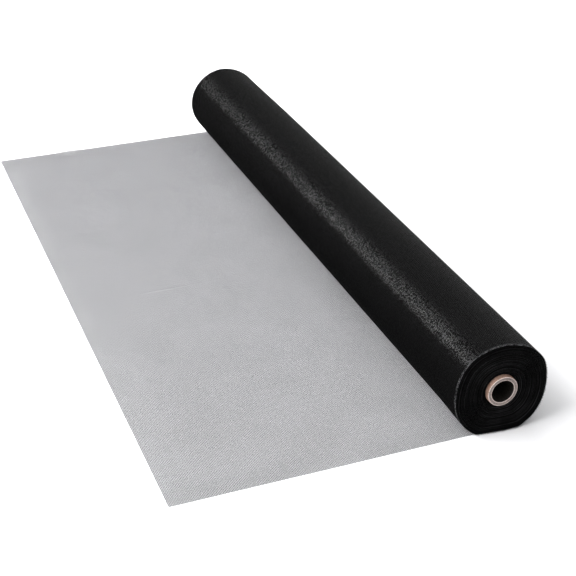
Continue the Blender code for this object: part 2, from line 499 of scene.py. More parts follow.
class NodeBench:
    """Adds and links the nodes of one node tree."""

    def __init__(self, tree: bpy.types.NodeTree) -> None:
        """Take the tree to work on."""
        self.tree = tree

    def feed(self, socket: Socket, value: Any) -> None:
        """Link a socket to an input, or set the input to a plain value.

        Args:
            socket: the input.
            value: another socket, or a plain number or colour.
        """
        if isinstance(value, bpy.types.NodeSocket):
            self.tree.links.new(value, socket)
        else:
            socket.default_value = value

    def fill(self, node: bpy.types.Node, **values: Any) -> bpy.types.Node:
        """Feed a node's named inputs; underscores in the names stand for spaces.

        Args:
            node: the node.
            values: a socket or plain value for each input.

        Returns:
            The same node.
        """
        for label, value in values.items():
            self.feed(node.inputs[label.replace("_", " ")], value)
        return node

    def add(self, kind: str, *values: Any, **settings: Any) -> bpy.types.Node:
        """Add a node of a kind, with settings for its properties and values for its first inputs.

        Args:
            kind: the node's type.
            values: sockets or plain values for its first inputs.
            settings: its properties.

        Returns:
            The new node.
        """
        node = self.tree.nodes.new(kind)
        row, column = divmod(len(self.tree.nodes), NODES_IN_A_ROW)
        node.location = (NODE_GAPS[0] * column, NODE_GAPS[1] * row)
        for key, setting in settings.items():
            setattr(node, key, setting)
        for socket, value in zip(node.inputs, values):
            self.feed(socket, value)
        return node

    def math(self, operation: str, *values: Any) -> Socket:
        """Return the result of a maths node on numbers or sockets."""
        return self.add("ShaderNodeMath", *values, operation=operation).outputs[0]

    def plus(self, first: Any, second: Any) -> Socket:
        """Return a sum."""
        return self.math("ADD", first, second)

    def minus(self, first: Any, second: Any) -> Socket:
        """Return a difference."""
        return self.math("SUBTRACT", first, second)

    def times(self, first: Any, second: Any) -> Socket:
        """Return a product."""
        return self.math("MULTIPLY", first, second)

    def off_half(self, value: Socket) -> Socket:
        """Return how far a value's fraction lies from a half."""
        return self.math("ABSOLUTE", self.minus(self.math("FRACT", value), 0.5))

    def spread(self, value: Any, low: float, high: float, to_low: Any = 0.0, to_high: Any = 1.0) -> Socket:
        """Return the value carried smoothly from one span to another, held at both ends.

        Args:
            value: the value.
            low: where its span starts.
            high: where it ends.
            to_low: what is given at the start and below it.
            to_high: what is given at the end and above it.

        Returns:
            The carried value.
        """
        node = self.add(
            "ShaderNodeMapRange", value, low, high, to_low, to_high, interpolation_type="SMOOTHSTEP"
        )
        return node.outputs[0]

    def blend(self, amount: Any, low: Any, high: Any) -> Socket:
        """Return a mix of two colours.

        Args:
            amount: 0 for the low colour, 1 for the high one.
            low: the low colour.
            high: the high colour.

        Returns:
            The mixed colour.
        """
        node = self.add("ShaderNodeMix", amount, data_type="RGBA")
        self.feed(node.inputs[6], low)
        self.feed(node.inputs[7], high)
        return node.outputs[2]

    def noise(self, place: Socket, scale: Any, detail: float = 2.0, roughness: float = 0.5) -> Socket:
        """Return a noise value between 0 and 1 at a place.

        Args:
            place: the place.
            scale: how closely the noise lies; more is closer.
            detail: how many finer layers it has.
            roughness: how strong those are.

        Returns:
            The noise value.
        """
        node = self.add("ShaderNodeTexNoise", place)
        self.fill(node, Scale=scale, Detail=detail, Roughness=roughness)
        return node.outputs["Fac"]

    def stretched(self, place: Socket, by: tuple[float, float, float]) -> Socket:
        """Return a place scaled along each axis."""
        return self.add("ShaderNodeVectorMath", place, by, operation="MULTIPLY").outputs[0]

    def scaled(self, colour: Socket, by: Any) -> Socket:
        """Return a colour made lighter or darker by a value."""
        node = self.add("ShaderNodeVectorMath", colour, operation="SCALE")
        return self.fill(node, Scale=by).outputs[0]

    def length(self, place: Socket) -> Socket:
        """Return how far a place lies from the origin."""
        return self.add("ShaderNodeVectorMath", place, operation="LENGTH").outputs["Value"]

    def colour(self, value: Sequence[float]) -> Socket:
        """Return a plain colour.

        Args:
            value: red, green, blue and alpha.

        Returns:
            The colour.
        """
        node = self.add("ShaderNodeRGB")
        node.outputs[0].default_value = tuple(value)
        return node.outputs[0]

    def place(self) -> Socket:
        """Return the place on a piece, in metres."""
        return self.add("ShaderNodeTexCoord").outputs["Object"]

    def split(self, place: Socket) -> tuple[Socket, Socket, Socket]:
        """Return X, Y and Z of a place."""
        x, y, z = self.add("ShaderNodeSeparateXYZ", place).outputs
        return x, y, z

    def round_axis(self, place: Socket, centre: tuple[float, float]) -> tuple[Socket, Socket, Socket]:
        """Return angle, radius and Y of a place, round an axis along Y through x and z.

        Args:
            place: the place.
            centre: x and z of the axis.

        Returns:
            The angle in radians, the radius and Y.
        """
        x, y, z = self.split(place)
        across, up = self.minus(x, centre[0]), self.minus(z, centre[1])
        squares = self.plus(self.times(across, across), self.times(up, up))
        return self.math("ARCTAN2", up, across), self.math("SQRT", squares), y


class MaterialBench(NodeBench):
    """Adds and links the nodes of one material, and fills in its shader."""

    def __init__(self, name: str, colour: Sequence[float], roughness: float, specular: float) -> None:
        """Start the material with its plain colour, roughness and specular level.

        Args:
            name: the material's name.
            colour: its plain red, green and blue.
            roughness: its plain roughness.
            specular: its specular level.
        """
        self.material = bpy.data.materials.new(name)
        self.material.use_nodes = True
        self.material.diffuse_color = tint(colour)
        super().__init__(self.material.node_tree)
        self.shader = self.tree.nodes["Principled BSDF"]
        self.fill(self.shader, Base_Color=tint(colour), Roughness=roughness)
        self.fill(self.shader, Specular_IOR_Level=specular)

    def finish(self, height: Socket, strength: float, depth: float, **values: Any) -> bpy.types.Material:
        """Bump the surface and fill in the shader.

        Args:
            height: the height of the bump over the surface.
            strength: how strong the bump is.
            depth: how deep it goes.
            values: the shader's other inputs, with underscores for spaces.

        Returns:
            The finished material.
        """
        bump = self.fill(self.add("ShaderNodeBump"), Strength=strength, Distance=depth, Height=height)
        self.fill(self.shader, Normal=bump.outputs["Normal"], **values)
        return self.material


class NodeGroup:
    """A shader node group with named inputs and outputs, built once."""

    def __init__(self, name: str, inputs: dict[str, float], outputs: Sequence[str]) -> None:
        """Make the group's sockets; each input has its usual value.

        Args:
            name: the group's name.
            inputs: the inputs' names and usual values.
            outputs: the outputs' names.
        """
        self.tree = bpy.data.node_groups.new(name, "ShaderNodeTree")
        sockets = self.tree.interface
        for label, usual in inputs.items():
            socket = sockets.new_socket(label, in_out="INPUT", socket_type="NodeSocketFloat")
            socket.default_value = usual
        for label in outputs:
            sockets.new_socket(label, in_out="OUTPUT", socket_type="NodeSocketFloat")
        self.bench = NodeBench(self.tree)
        self.taken = self.bench.add("NodeGroupInput").outputs
        self.result = self.bench.add("NodeGroupOutput")
        self.place = self.bench.place()

    def give(self, **values: Socket) -> NodeGroup:
        """Send values to the group's outputs, and return the finished group."""
        self.bench.fill(self.result, **values)
        return self

    def use(self, bench: NodeBench, **values: Any) -> bpy.types.Node:
        """Place the group in a material with its own values."""
        return bench.fill(bench.add("ShaderNodeGroup", node_tree=self.tree), **values)


# Where along Y the coat's patches begin to lie wider apart, and where they are widest.
CLOSENESS_SPAN = (-0.35, 0.40)
# The noise values between which each effect grows from nothing to its full strength.
GLINT_SPAN = (0.41, 0.59)
CLOUD_SPAN = (0.30, 0.70)
PATCH_SPAN = (0.25, 0.75)
FIBRE_SPAN = (0.32, 0.68)
FLECK_SPAN = (0.60, 0.70)


def build_mottle() -> NodeGroup:
    """Build the group for coating that took up unevenly: fine glints and broad clouds.

    Returns:
        The group.
    """
    usual = {"Fine Scale": 700.0, "Broad Scale": 14.0, "Far Closeness": 0.74}
    group = NodeGroup("coating_mottle", usual, ("Glint", "Cloud"))
    bench, taken = group.bench, group.taken
    _, along, _ = bench.split(group.place)
    closeness = bench.spread(along, *CLOSENESS_SPAN, 1.0, taken["Far Closeness"])
    fine_scale = bench.times(taken["Fine Scale"], closeness)
    fine = bench.noise(group.place, fine_scale, detail=1.0, roughness=1.0)
    broad = bench.noise(group.place, taken["Broad Scale"], detail=3.0, roughness=0.55)
    return group.give(Glint=bench.spread(fine, *GLINT_SPAN), Cloud=bench.spread(broad, *CLOUD_SPAN))


def build_plain_weave() -> NodeGroup:
    """Build the group for plain weave: where a yarn lies over the one it crosses.

    Returns:
        The group.
    """
    group = NodeGroup("plain_weave", {"Crossed": 0.0}, ("Over",))
    turn = group.bench.times(group.taken["Crossed"], math.pi)
    return group.give(Over=group.bench.spread(group.bench.math("COSINE", turn), -0.5, 0.5))


def build_under_weave(form: RollForm, yarns: Yarns) -> NodeGroup:
    """Build the group for the yarns of the turns below, laid out round the roll's axis.

    Args:
        form: the roll's form.
        yarns: the yarns' sizes.

    Returns:
        The group.
    """
    usual = {"Yarn Share": 0.34, "Offset": 0.3}
    group = NodeGroup("under_weave", usual, ("Height", "Yarn"))
    bench, taken = group.bench, group.taken
    turn, _, along = bench.round_axis(group.place, (0.0, form.axis_height))
    arc = bench.times(turn, form.radius)
    ridges = []
    for distance, pitch in ((along, yarns.across_pitch), (arc, yarns.along_pitch)):
        apart = bench.off_half(bench.plus(bench.math("DIVIDE", distance, pitch), taken["Offset"]))
        edge = bench.times(taken["Yarn Share"], 0.5)
        ridges.append(bench.spread(bench.minus(edge, apart), -0.05, 0.12))
    height = bench.times(bench.plus(*ridges), 0.5)
    return group.give(Height=height, Yarn=bench.math("MAXIMUM", *ridges))


# The painted highlight band round the roll, in degrees: its middle, where the softbox's highlight
# falls, how far off it the patches fade, how far past it the gloss fades on the flank as painted
# shade, and how ragged those edges are; then what is left of both.
HIGHLIGHT_MIDDLE = 132.0
HIGHLIGHT_FADES = (8.0, 19.0)
FLANK_SHADE_FADES = (4.0, 13.0)
HIGHLIGHT_RAGGED = 1.8
HIGHLIGHT_LEAST = 0.15
FLANK_SHADE_LEAST = 0.11


def build_highlight_band(form: RollForm) -> NodeGroup:
    """Build the group for the painted highlight band round the roll, where the coat is patchy, and the
    painted shade of its duller flank.

    Args:
        form: the roll's form.

    Returns:
        The group.
    """
    usual = {"Middle": math.radians(HIGHLIGHT_MIDDLE)}
    group = NodeGroup("highlight_band", usual, ("Taut", "Gloss"))
    bench, middle = group.bench, group.taken["Middle"]
    out, _, z = bench.split(group.place)
    up = bench.minus(z, form.axis_height)
    cosine, sine = bench.math("COSINE", middle), bench.math("SINE", middle)
    ahead = bench.plus(bench.times(out, cosine), bench.times(up, sine))
    aside = bench.minus(bench.times(up, cosine), bench.times(out, sine))
    sway = math.radians(HIGHLIGHT_RAGGED)
    ragged = bench.spread(bench.noise(group.place, scale=170.0), *CLOUD_SPAN, -sway, sway)
    turned = bench.plus(bench.math("ARCTAN2", aside, ahead), ragged)
    off_middle = bench.math("ABSOLUTE", turned)
    # The first output keeps the patchy coat where the softbox's highlight falls, a painted highlight; the
    # second fades the coat on the flank, a painted shade.
    return group.give(
        Taut=bench.spread(off_middle, *map(math.radians, HIGHLIGHT_FADES), 1.0, HIGHLIGHT_LEAST),
        Gloss=bench.spread(turned, *map(math.radians, FLANK_SHADE_FADES), 1.0, FLANK_SHADE_LEAST),
    )


def build_paper_fibre() -> NodeGroup:
    """Build the group for paper: long pale fibres and small dark flecks.

    Returns:
        The group.
    """
    usual = {"Fibre Scale": 900.0, "Fleck Scale": 420.0}
    group = NodeGroup("paper_fibre", usual, ("Fibre", "Fleck"))
    bench, taken = group.bench, group.taken
    drawn = bench.stretched(group.place, (1.0, 0.18, 1.0))
    fibre = bench.noise(drawn, taken["Fibre Scale"], detail=4.0, roughness=0.65)
    fleck = bench.noise(group.place, taken["Fleck Scale"])
    return group.give(Fibre=bench.spread(fibre, *FIBRE_SPAN), Fleck=bench.spread(fleck, *FLECK_SPAN))


@dataclass(frozen=True)
class Groups:
    """The shared shader node groups.

    Attributes:
        mottle: the coat's glints and clouds.
        plain_weave: where a yarn lies over the one it crosses.
        under_weave: the yarns of the turns below.
        paper_fibre: the cardboard's fibres and flecks.
        highlight_band: the painted highlight band round the roll and the painted shade of its duller flank.
    """

    mottle: NodeGroup
    plain_weave: NodeGroup
    under_weave: NodeGroup
    paper_fibre: NodeGroup
    highlight_band: NodeGroup


def tint(colour: Sequence[float], by: float = 1.0) -> tuple[float, float, float, float]:
    """Return a colour made lighter or darker, with its alpha."""
    red, green, blue = (part * by for part in colour)
    return red, green, blue, 1.0


@dataclass(frozen=True)
class YarnFinish:
    """Coated yarn of the mesh: near black, with a gloss on the crossings where it lies on top; its over
    colour may carry a painted sheen and its under colour painted shade.

    Attributes:
        name: the material's name.
        over_colour: red, green and blue where the yarn lies over another; on the sheet it carries a painted
            sheen.
        under_colour: the same where it dips under one, darker by painted shade.
        coat: the coat's greatest weight.
        gloss: the coat's roughness.
        coat_index: the coat's refractive index.
        dull: the yarn's own roughness.
        patch_scale: how closely the coat's thick and thin patches lie; more is closer.
        cloud_scale: how closely the broader clouds lie.
        clouds: how much paler and darker they make the colour, as a share of it.
        patches: how much of the coat depends on them, from 0 to 1.
        relief: how deep the dips and the patches go.
        wound: whether it lies on the roll, where the patches follow the painted highlight band round it and
            the gloss fades on the flank as painted shade.
    """

    name: str
    over_colour: tuple[float, float, float]
    under_colour: tuple[float, float, float]
    coat: float
    gloss: float
    coat_index: float
    dull: float
    patch_scale: float
    cloud_scale: float
    clouds: float
    patches: float
    relief: float
    wound: bool

    def coat_share(self, bench: NodeBench, groups: Groups, patch: Socket) -> Socket:
        """Return the coat's weight before the weave, from its patches, the painted highlight band and the
        painted flank shade.

        Args:
            bench: the material's bench.
            groups: the shared node groups.
            patch: the coat's thick and thin patches.

        Returns:
            The coat's weight.
        """
        if not self.wound:
            return bench.spread(patch, *PATCH_SPAN, (1.0 - self.patches) * self.coat, self.coat)
        # The coat is painted by angle round the roll: patchy in the highlight band, faded on the flank as
        # painted shade.
        side = groups.highlight_band.use(bench).outputs
        even = 1.0 - 0.5 * self.patches
        apart = bench.spread(patch, *PATCH_SPAN, -0.5 * self.patches, 0.5 * self.patches)
        share = bench.plus(bench.times(apart, side["Taut"]), even)
        return bench.times(share, bench.times(side["Gloss"], self.coat))

    def material(self, groups: Groups) -> bpy.types.Material:
        """Return the finish as a material.

        Args:
            groups: the shared node groups.

        Returns:
            The material.
        """
        bench = MaterialBench(self.name, self.under_colour, self.dull, specular=0.08)
        crossed, _, _ = bench.split(bench.add("ShaderNodeUVMap", uv_map=WEAVE_MAP).outputs["UV"])
        over = groups.plain_weave.use(bench, Crossed=crossed).outputs["Over"]
        mottle = groups.mottle.use(bench, Fine_Scale=self.patch_scale, Broad_Scale=self.cloud_scale)
        patch = mottle.outputs["Glint"]
        # Painted sheen where the yarn lies on top and painted shade where it dips under.
        shade = bench.blend(over, tint(self.under_colour), tint(self.over_colour))
        cloud = bench.spread(mottle.outputs["Cloud"], 0.0, 1.0, 1.0 - self.clouds, 1.0 + self.clouds)
        return bench.finish(
            bench.plus(over, patch), strength=1.0, depth=self.relief,
            Base_Color=bench.scaled(shade, cloud),
            Coat_Weight=bench.times(over, self.coat_share(bench, groups, patch)),
            Coat_Roughness=self.gloss,
            Coat_IOR=self.coat_index,
            Roughness=bench.spread(patch, 0.0, 1.0, self.dull, self.dull - 0.15),
        )


@dataclass(frozen=True)
class WoundFinish:
    """The turns below the last one: yarns darkened by painted shade, over holes of deeper painted shade.

    Attributes:
        name: the material's name.
        yarn_colour: red, green and blue of the yarns.
        hole_shade_colour: red, green and blue of the painted shade between them, where the turns further
            down show.
        roughness: the yarns' roughness.
        relief: how deep the weave's bump goes.
    """

    name: str
    yarn_colour: tuple[float, float, float]
    hole_shade_colour: tuple[float, float, float]
    roughness: float
    relief: float

    def material(self, groups: Groups) -> bpy.types.Material:
        """Return the finish as a material.

        Args:
            groups: the shared node groups.

        Returns:
            The material.
        """
        bench = MaterialBench(self.name, self.yarn_colour, self.roughness, specular=0.06)
        weave = groups.under_weave.use(bench, Yarn_Share=0.36, Offset=0.37).outputs
        mottle = groups.mottle.use(bench, Fine_Scale=520.0, Broad_Scale=18.0).outputs
        yarn = bench.blend(mottle["Cloud"], tint(self.yarn_colour, 0.8), tint(self.yarn_colour, 1.2))
        dullest = min(self.roughness + 0.25, 1.0)
        return bench.finish(
            weave["Height"], strength=0.9, depth=self.relief,
            Base_Color=bench.blend(weave["Yarn"], tint(self.hole_shade_colour), yarn),
            Roughness=bench.spread(mottle["Glint"], 0.0, 1.0, dullest, self.roughness),
        )


@dataclass(frozen=True)
class CutEdgeFinish:
    """The wound turns' cut edges: dark, with the yarns' ends as short paler dashes, paler on turns that
    stand out, from bare glass and painted light.

    Attributes:
        name: the material's name.
        colour: red, green and blue of the coat.
        dash_colour: red, green and blue of the cut yarns.
        dash_pitch: spacing of the dashes round a turn.
        centre: x and z of the tube's axis.
    """

    name: str
    colour: tuple[float, float, float]
    dash_colour: tuple[float, float, float]
    dash_pitch: float
    centre: tuple[float, float]

    def material(self, groups: Groups) -> bpy.types.Material:
        """Return the finish as a material.

        Args:
            groups: the shared node groups.

        Returns:
            The material.
        """
        bench = MaterialBench(self.name, self.colour, roughness=0.6, specular=0.04)
        angle, reach, _ = bench.round_axis(bench.place(), self.centre)
        dashes = bench.math("DIVIDE", bench.times(angle, reach), self.dash_pitch)
        dash = bench.spread(bench.off_half(dashes), 0.08, 0.16, 1.0, 0.0)
        mottle = groups.mottle.use(bench, Fine_Scale=900.0, Broad_Scale=90.0).outputs
        # Paler cut yarns on turns that stand out: bare glass together with painted light on those proud
        # edges.
        bared_and_lit = bench.add("ShaderNodeAttribute", attribute_name=BARED_AND_LIT).outputs["Fac"]
        line = bench.times(bared_and_lit, bench.spread(mottle["Cloud"], 0.0, 1.0, 0.5, 1.0))
        shown = bench.times(line, bench.spread(dash, 0.0, 1.0, 0.55, 1.0))
        return bench.finish(
            dash, strength=0.7, depth=0.12 * MM,
            Base_Color=bench.blend(shown, tint(self.colour), tint(self.dash_colour)),
            Roughness=bench.spread(mottle["Glint"], 0.0, 1.0, 0.75, 0.45),
        )


class YarnRun(Enum):
    """Which way the last turn's yarns run, by the place of their finish."""

    ROUND = 0
    ALONG = 1
    CUT = 2


class PaperSide(Enum):
    """Which surface of the tube a paper finish is for, by the place among its finishes."""

    WALL = 0
    CUT = 1
    BORE = 2


@dataclass(frozen=True)
class PaperFinish:
    """Cardboard of the tube.

    Attributes:
        name: the material's name.
        side: which surface of the tube it is for.
        colour: red, green and blue of the paper.
        fleck_colour: red, green and blue of its dark flecks.
        seam_pitch: how far along Y the spiral seam goes in one turn.
        centre: x and z of the tube's axis.
        radii: the cut end's inner and outer radius.
    """

    name: str
    side: PaperSide
    colour: tuple[float, float, float]
    fleck_colour: tuple[float, float, float]
    seam_pitch: float
    centre: tuple[float, float]
    radii: tuple[float, float]

    def rims(self, bench: NodeBench) -> Socket:
        """Return a mask of the cut end's inner and outer plies, which are paler paper with a painted
        highlight where the cut rims catch light.

        Args:
            bench: the material's bench.

        Returns:
            The mask.
        """
        _, reach, _ = bench.round_axis(bench.place(), self.centre)
        inner, outer = self.radii
        wall = outer - inner
        off_middle = bench.math("ABSOLUTE", bench.minus(reach, (inner + outer) / 2))
        return bench.spread(off_middle, 0.28 * wall, 0.44 * wall)

    def seam(self, bench: NodeBench) -> Socket:
        """Return a mask of the thin spiral seam between the paper's strips.

        Args:
            bench: the material's bench.

        Returns:
            The mask.
        """
        angle, _, along = bench.round_axis(bench.place(), self.centre)
        turn = bench.math("DIVIDE", angle, math.tau)
        forward = bench.math("DIVIDE", along, self.seam_pitch)
        return bench.spread(bench.off_half(bench.plus(forward, turn)), 0.004, 0.012, 1.0, 0.0)

    def material(self, groups: Groups) -> bpy.types.Material:
        """Return the finish as a material.

        Args:
            groups: the shared node groups.

        Returns:
            The material.
        """
        bench = MaterialBench(self.name, self.colour, roughness=0.85, specular=0.25)
        paper = groups.paper_fibre.use(bench, Fibre_Scale=1100.0, Fleck_Scale=480.0).outputs
        fibre, dark = paper["Fibre"], tint(self.fleck_colour)
        pale = bench.blend(fibre, tint(self.colour, 0.72), tint(self.colour, 1.22))
        colour, height = bench.blend(bench.times(paper["Fleck"], 0.7), pale, dark), fibre
        if self.side is PaperSide.CUT:
            # Paler inner and outer plies: their paper, with a painted highlight where the cut rims catch
            # light.
            colour = bench.scaled(colour, bench.spread(self.rims(bench), 0.0, 1.0, 0.80, 2.35))
        else:
            seam = self.seam(bench)
            colour = bench.blend(bench.times(seam, 0.6), colour, dark)
            height = bench.minus(height, bench.times(seam, 2.0))
        return bench.finish(
            height, strength=0.8, depth=0.12 * MM,
            Base_Color=colour,
            Roughness=bench.spread(fibre, 0.0, 1.0, 0.95, 0.75),
        )


@dataclass
class WoundBody:
    """All turns below the last one, with the spiral of their cut edges at both ends.

    Attributes:
        form: the roll's form.
        turns: how many turns the spiral has.
        steps: points round one turn.
        side_steps: stretches along the side.
        under: how far the side lies below the outermost yarns.
        edge_share: the part of a turn's pitch that its cut edge fills.
        groove_depth: how deep the groove between two turns goes.
        bunch_turns: the fewest turns in a bunch, and one more than the most.
        bunch_slide: how far bunches of turns slid together.
        lead_slide: how far a bunch's first turns stand out of it.
        lead_shares: each of those turns' share of that.
        least_lead: the least share of it that a bunch draws; the most is 1.
        bared_and_lit_round: how pale the cut yarns stay all round the turn, as a share of the most; that
            paleness is bare glass and painted light on turns that stand out.
        slid_round: the same for how far a bunch slid.
        seed: the seed of the winding's unevenness.
    """

    form: RollForm
    turns: int = 128
    steps: int = 60
    side_steps: int = 26
    under: float = 0.30 * MM
    edge_share: float = 0.64
    groove_depth: float = 0.9 * MM
    bunch_turns: tuple[int, int] = (5, 12)
    bunch_slide: float = 0.60 * MM
    lead_slide: float = 0.60 * MM
    lead_shares: tuple[float, ...] = (0.7, 1.0, 0.6)
    least_lead: float = 0.25
    bared_and_lit_round: float = 0.45
    slid_round: float = 0.4
    seed: int = 41

    def bunches(self, end: RollEnd) -> tuple[Array, Array, Array]:
        """Draw the bunches that the turns slid in, from the outside in.

        Args:
            end: which end of the roll.

        Returns:
            For each turn, how far it lies back, how pale its cut yarns are from bare glass and painted
            light on the turns that stand out, and where round the roll its bunch opens.
        """
        draw = np.random.default_rng(self.seed + end.value)
        count = self.turns + 3
        back, bared_and_lit, opens = np.zeros(count), np.zeros(count), np.zeros(count)
        turn = 0
        while turn < count:
            after = turn + int(draw.integers(*self.bunch_turns))
            back[turn:after] = self.bunch_slide * draw.uniform(-1.0, 1.0)
            opens[turn:after] = draw.uniform(0.0, math.tau)
            strength = draw.uniform(self.least_lead, 1.0)
            for place, share in enumerate(self.lead_shares):
                if turn + place < count:
                    back[turn + place] -= self.lead_slide * share * strength
                    bared_and_lit[turn + place] = share * strength
            turn = after
        return back, bared_and_lit, opens

    def round_tube(self, angle: Array, gap: float) -> tuple[Array, Array]:
        """Return x and z of places round the tube, a gap off its wall.

        Args:
            angle: where round the tube, in degrees.
            gap: how far off its wall.

        Returns:
            The x and the z.
        """
        reach = self.form.tube_radius + gap
        turn = np.radians(angle)
        centre_x, centre_z = self.form.tube_centre
        return centre_x + reach * np.cos(turn), centre_z + reach * np.sin(turn)

    def side_skin(self, angle: Array, along: Array | float) -> Array:
        """Return x and z of the side, below the last turn and its slack."""
        return self.form.skin(angle, along, self.under + self.form.slack_gap(angle, along))

    def end_rows(self, end: RollEnd) -> tuple[Array, Array]:
        """Place one end's vertices: each step has the edge's two sides and the groove's bottom.

        Args:
            end: which end of the roll.

        Returns:
            The vertices, and how pale the cut yarns are at each, from bare glass and painted light on the
            turns that stand out.
        """
        step = np.arange(self.turns * self.steps + 1)
        angle = FOOT_ANGLE + 360.0 * step / self.steps
        skin = self.side_skin(angle, end.value * self.form.cloth_width / 2)
        turn = np.radians(angle)
        tube_x, tube_z = self.round_tube(angle, self.under)
        back_of, bared_and_lit_of, opens_of = self.bunches(end)
        knots = np.arange(back_of.size)
        rows, bared_and_lit = [], []
        for inside, depth in ((0.0, 0.0), (self.edge_share, 0.0), ((1 + self.edge_share) / 2, 1.0)):
            passed = step / self.steps + inside
            share = np.clip(1.0 - passed / (self.turns + 1), 0.0, 1.0)
            opened = 0.5 + 0.5 * np.cos(2.0 * turn + np.interp(passed, knots, opens_of))
            shown = np.interp(passed, knots, bared_and_lit_of)
            shown = shown * (self.bared_and_lit_round + (1.0 - self.bared_and_lit_round) * opened)
            # The paleness is bare glass and painted light on proud turns, and nothing at the groove's
            # bottom, which stays dark as painted shade.
            bared_and_lit.append(shown * (1.0 - depth))
            slid = np.interp(passed, knots, back_of)
            slid = slid * (self.slid_round + (1.0 - self.slid_round) * opened)
            y = self.form.edge(end, share, angle) - end.value * (slid + depth * self.groove_depth)
            x = tube_x + share * (skin[:, 0] - tube_x)
            z = tube_z + share * (skin[:, 1] - tube_z)
            rows.append(np.stack([x, y, z], axis=-1))
        return np.stack(rows, axis=1).reshape(-1, 3), np.stack(bared_and_lit, axis=1).ravel()

    @property
    def once_round(self) -> Array:
        """The angles once round the roll, from straight down."""
        return FOOT_ANGLE + 360.0 * np.arange(self.steps) / self.steps

    def side_rings(self) -> Array:
        """Place the side's rings of vertices, from the near end to the far end.

        Returns:
            The vertices, ring after ring.
        """
        rings = []
        for step in range(self.side_steps + 1):
            part = 0.5 - 0.5 * math.cos(math.pi * step / self.side_steps)
            y = self.form.across(np.full(self.steps, part), self.once_round)
            skin = self.side_skin(self.once_round, y)
            rings.append(np.stack([skin[:, 0], y, skin[:, 1]], axis=-1))
        return np.concatenate(rings)

    def bore_ring(self, end: RollEnd) -> Array:
        """Place the ring of vertices where the innermost turn hugs the tube."""
        x, z = self.round_tube(self.once_round, 0.8 * self.under)
        return np.stack([x, self.form.edge(end, 0.0, self.once_round), z], axis=-1)

    def end_faces(self, start: int, rim: int, bore: int) -> list[list[int]]:
        """List one end's faces.

        Args:
            start: number of the end's first vertex.
            rim: number of the side ring's first vertex at this end.
            bore: number of the bore ring's first vertex at this end.

        Returns:
            The faces, as lists of vertex numbers.
        """
        count, steps = self.turns * self.steps, self.steps

        def at(step: int, row: int) -> int:
            """Number of the vertex at a step and a row of the spiral."""
            return start + step * 3 + row

        faces = []
        for step in range(count):
            after = step + 1
            for row in (0, 1):
                faces.append([at(step, row), at(after, row), at(after, row + 1), at(step, row + 1)])
            if after + steps <= count:
                faces.append([at(step, 2), at(after, 2), at(after + steps, 0), at(step + steps, 0)])
        for step in range(steps - 1):
            faces.append([rim + step, rim + step + 1, at(step + 1, 0), at(step, 0)])
            inner = count - steps + step
            faces.append([at(inner, 2), at(inner + 1, 2), bore + step + 1, bore + step])
        last, inner = steps - 1, count - steps
        outer_start = [at(0, row) for row in (0, 1, 2)]
        faces.append([rim + last, rim, *outer_start, at(steps, 0), at(last, 0)])
        inner_stop = [at(count, row) for row in (2, 1, 0)]
        faces.append([bore, bore + last, at(count - 1, 2), *inner_stop, at(inner, 2)])
        return faces

    def wrap_faces(self, first: int, second: int) -> list[list[int]]:
        """List the faces once round between two rings, by the numbers of their first vertices."""
        ring = [(step, (step + 1) % self.steps) for step in range(self.steps)]
        return [[first + after, first + step, second + step, second + after] for step, after in ring]

    def build(self, cloth: bpy.types.Material, edges: bpy.types.Material) -> bpy.types.Object:
        """Build the winding as one closed mesh.

        Args:
            cloth: finish of the side.
            edges: finish of the cut edges at both ends.

        Returns:
            The new piece.
        """
        (near, near_bared_and_lit), (far, far_bared_and_lit) = (self.end_rows(end) for end in RollEnd)
        blocks = [near, far, self.side_rings(), *(self.bore_ring(end) for end in RollEnd)]
        starts = np.cumsum([0] + [len(block) for block in blocks]).tolist()
        far_rim = starts[2] + self.side_steps * self.steps
        faces = self.end_faces(starts[0], starts[2], starts[3])
        faces += [face[::-1] for face in self.end_faces(starts[1], far_rim, starts[4])]
        edge_count = len(faces)
        for base in range(starts[2], far_rim, self.steps):
            faces += self.wrap_faces(base, base + self.steps)
        faces += self.wrap_faces(starts[4], starts[3])
        mesh = bpy.data.meshes.new("wound_turns")
        mesh.from_pydata(np.concatenate(blocks).tolist(), [], faces)
        builder = bmesh.new()
        builder.from_mesh(mesh)
        smooth_mesh(mesh, builder, sharp_from=35)
        marks = np.zeros(len(mesh.polygons), dtype=np.int32)
        marks[:edge_count] = 1
        mesh.polygons.foreach_set("material_index", marks)
        bared_and_lit = np.zeros(len(mesh.vertices), dtype=np.float32)
        bared_and_lit[: starts[2]] = np.concatenate([near_bared_and_lit, far_bared_and_lit])
        mesh.attributes.new(BARED_AND_LIT, "FLOAT", "POINT").data.foreach_set("value", bared_and_lit)
        mesh.update()
        return add_piece("wound_turns", mesh, (cloth, edges))


@dataclass(frozen=True)
class LooseTurn:
    """One of the last turns where it stands off the winding at the near end.

    Attributes:
        inside: place in the gap, from 0 at the last turn to 1 at the winding.
        set_back: how far its cut edge lies behind the last turn's.
        thickness: how thick it and the turns that cling to it are where the gap lets them show.
    """

    inside: float
    set_back: float
    thickness: float


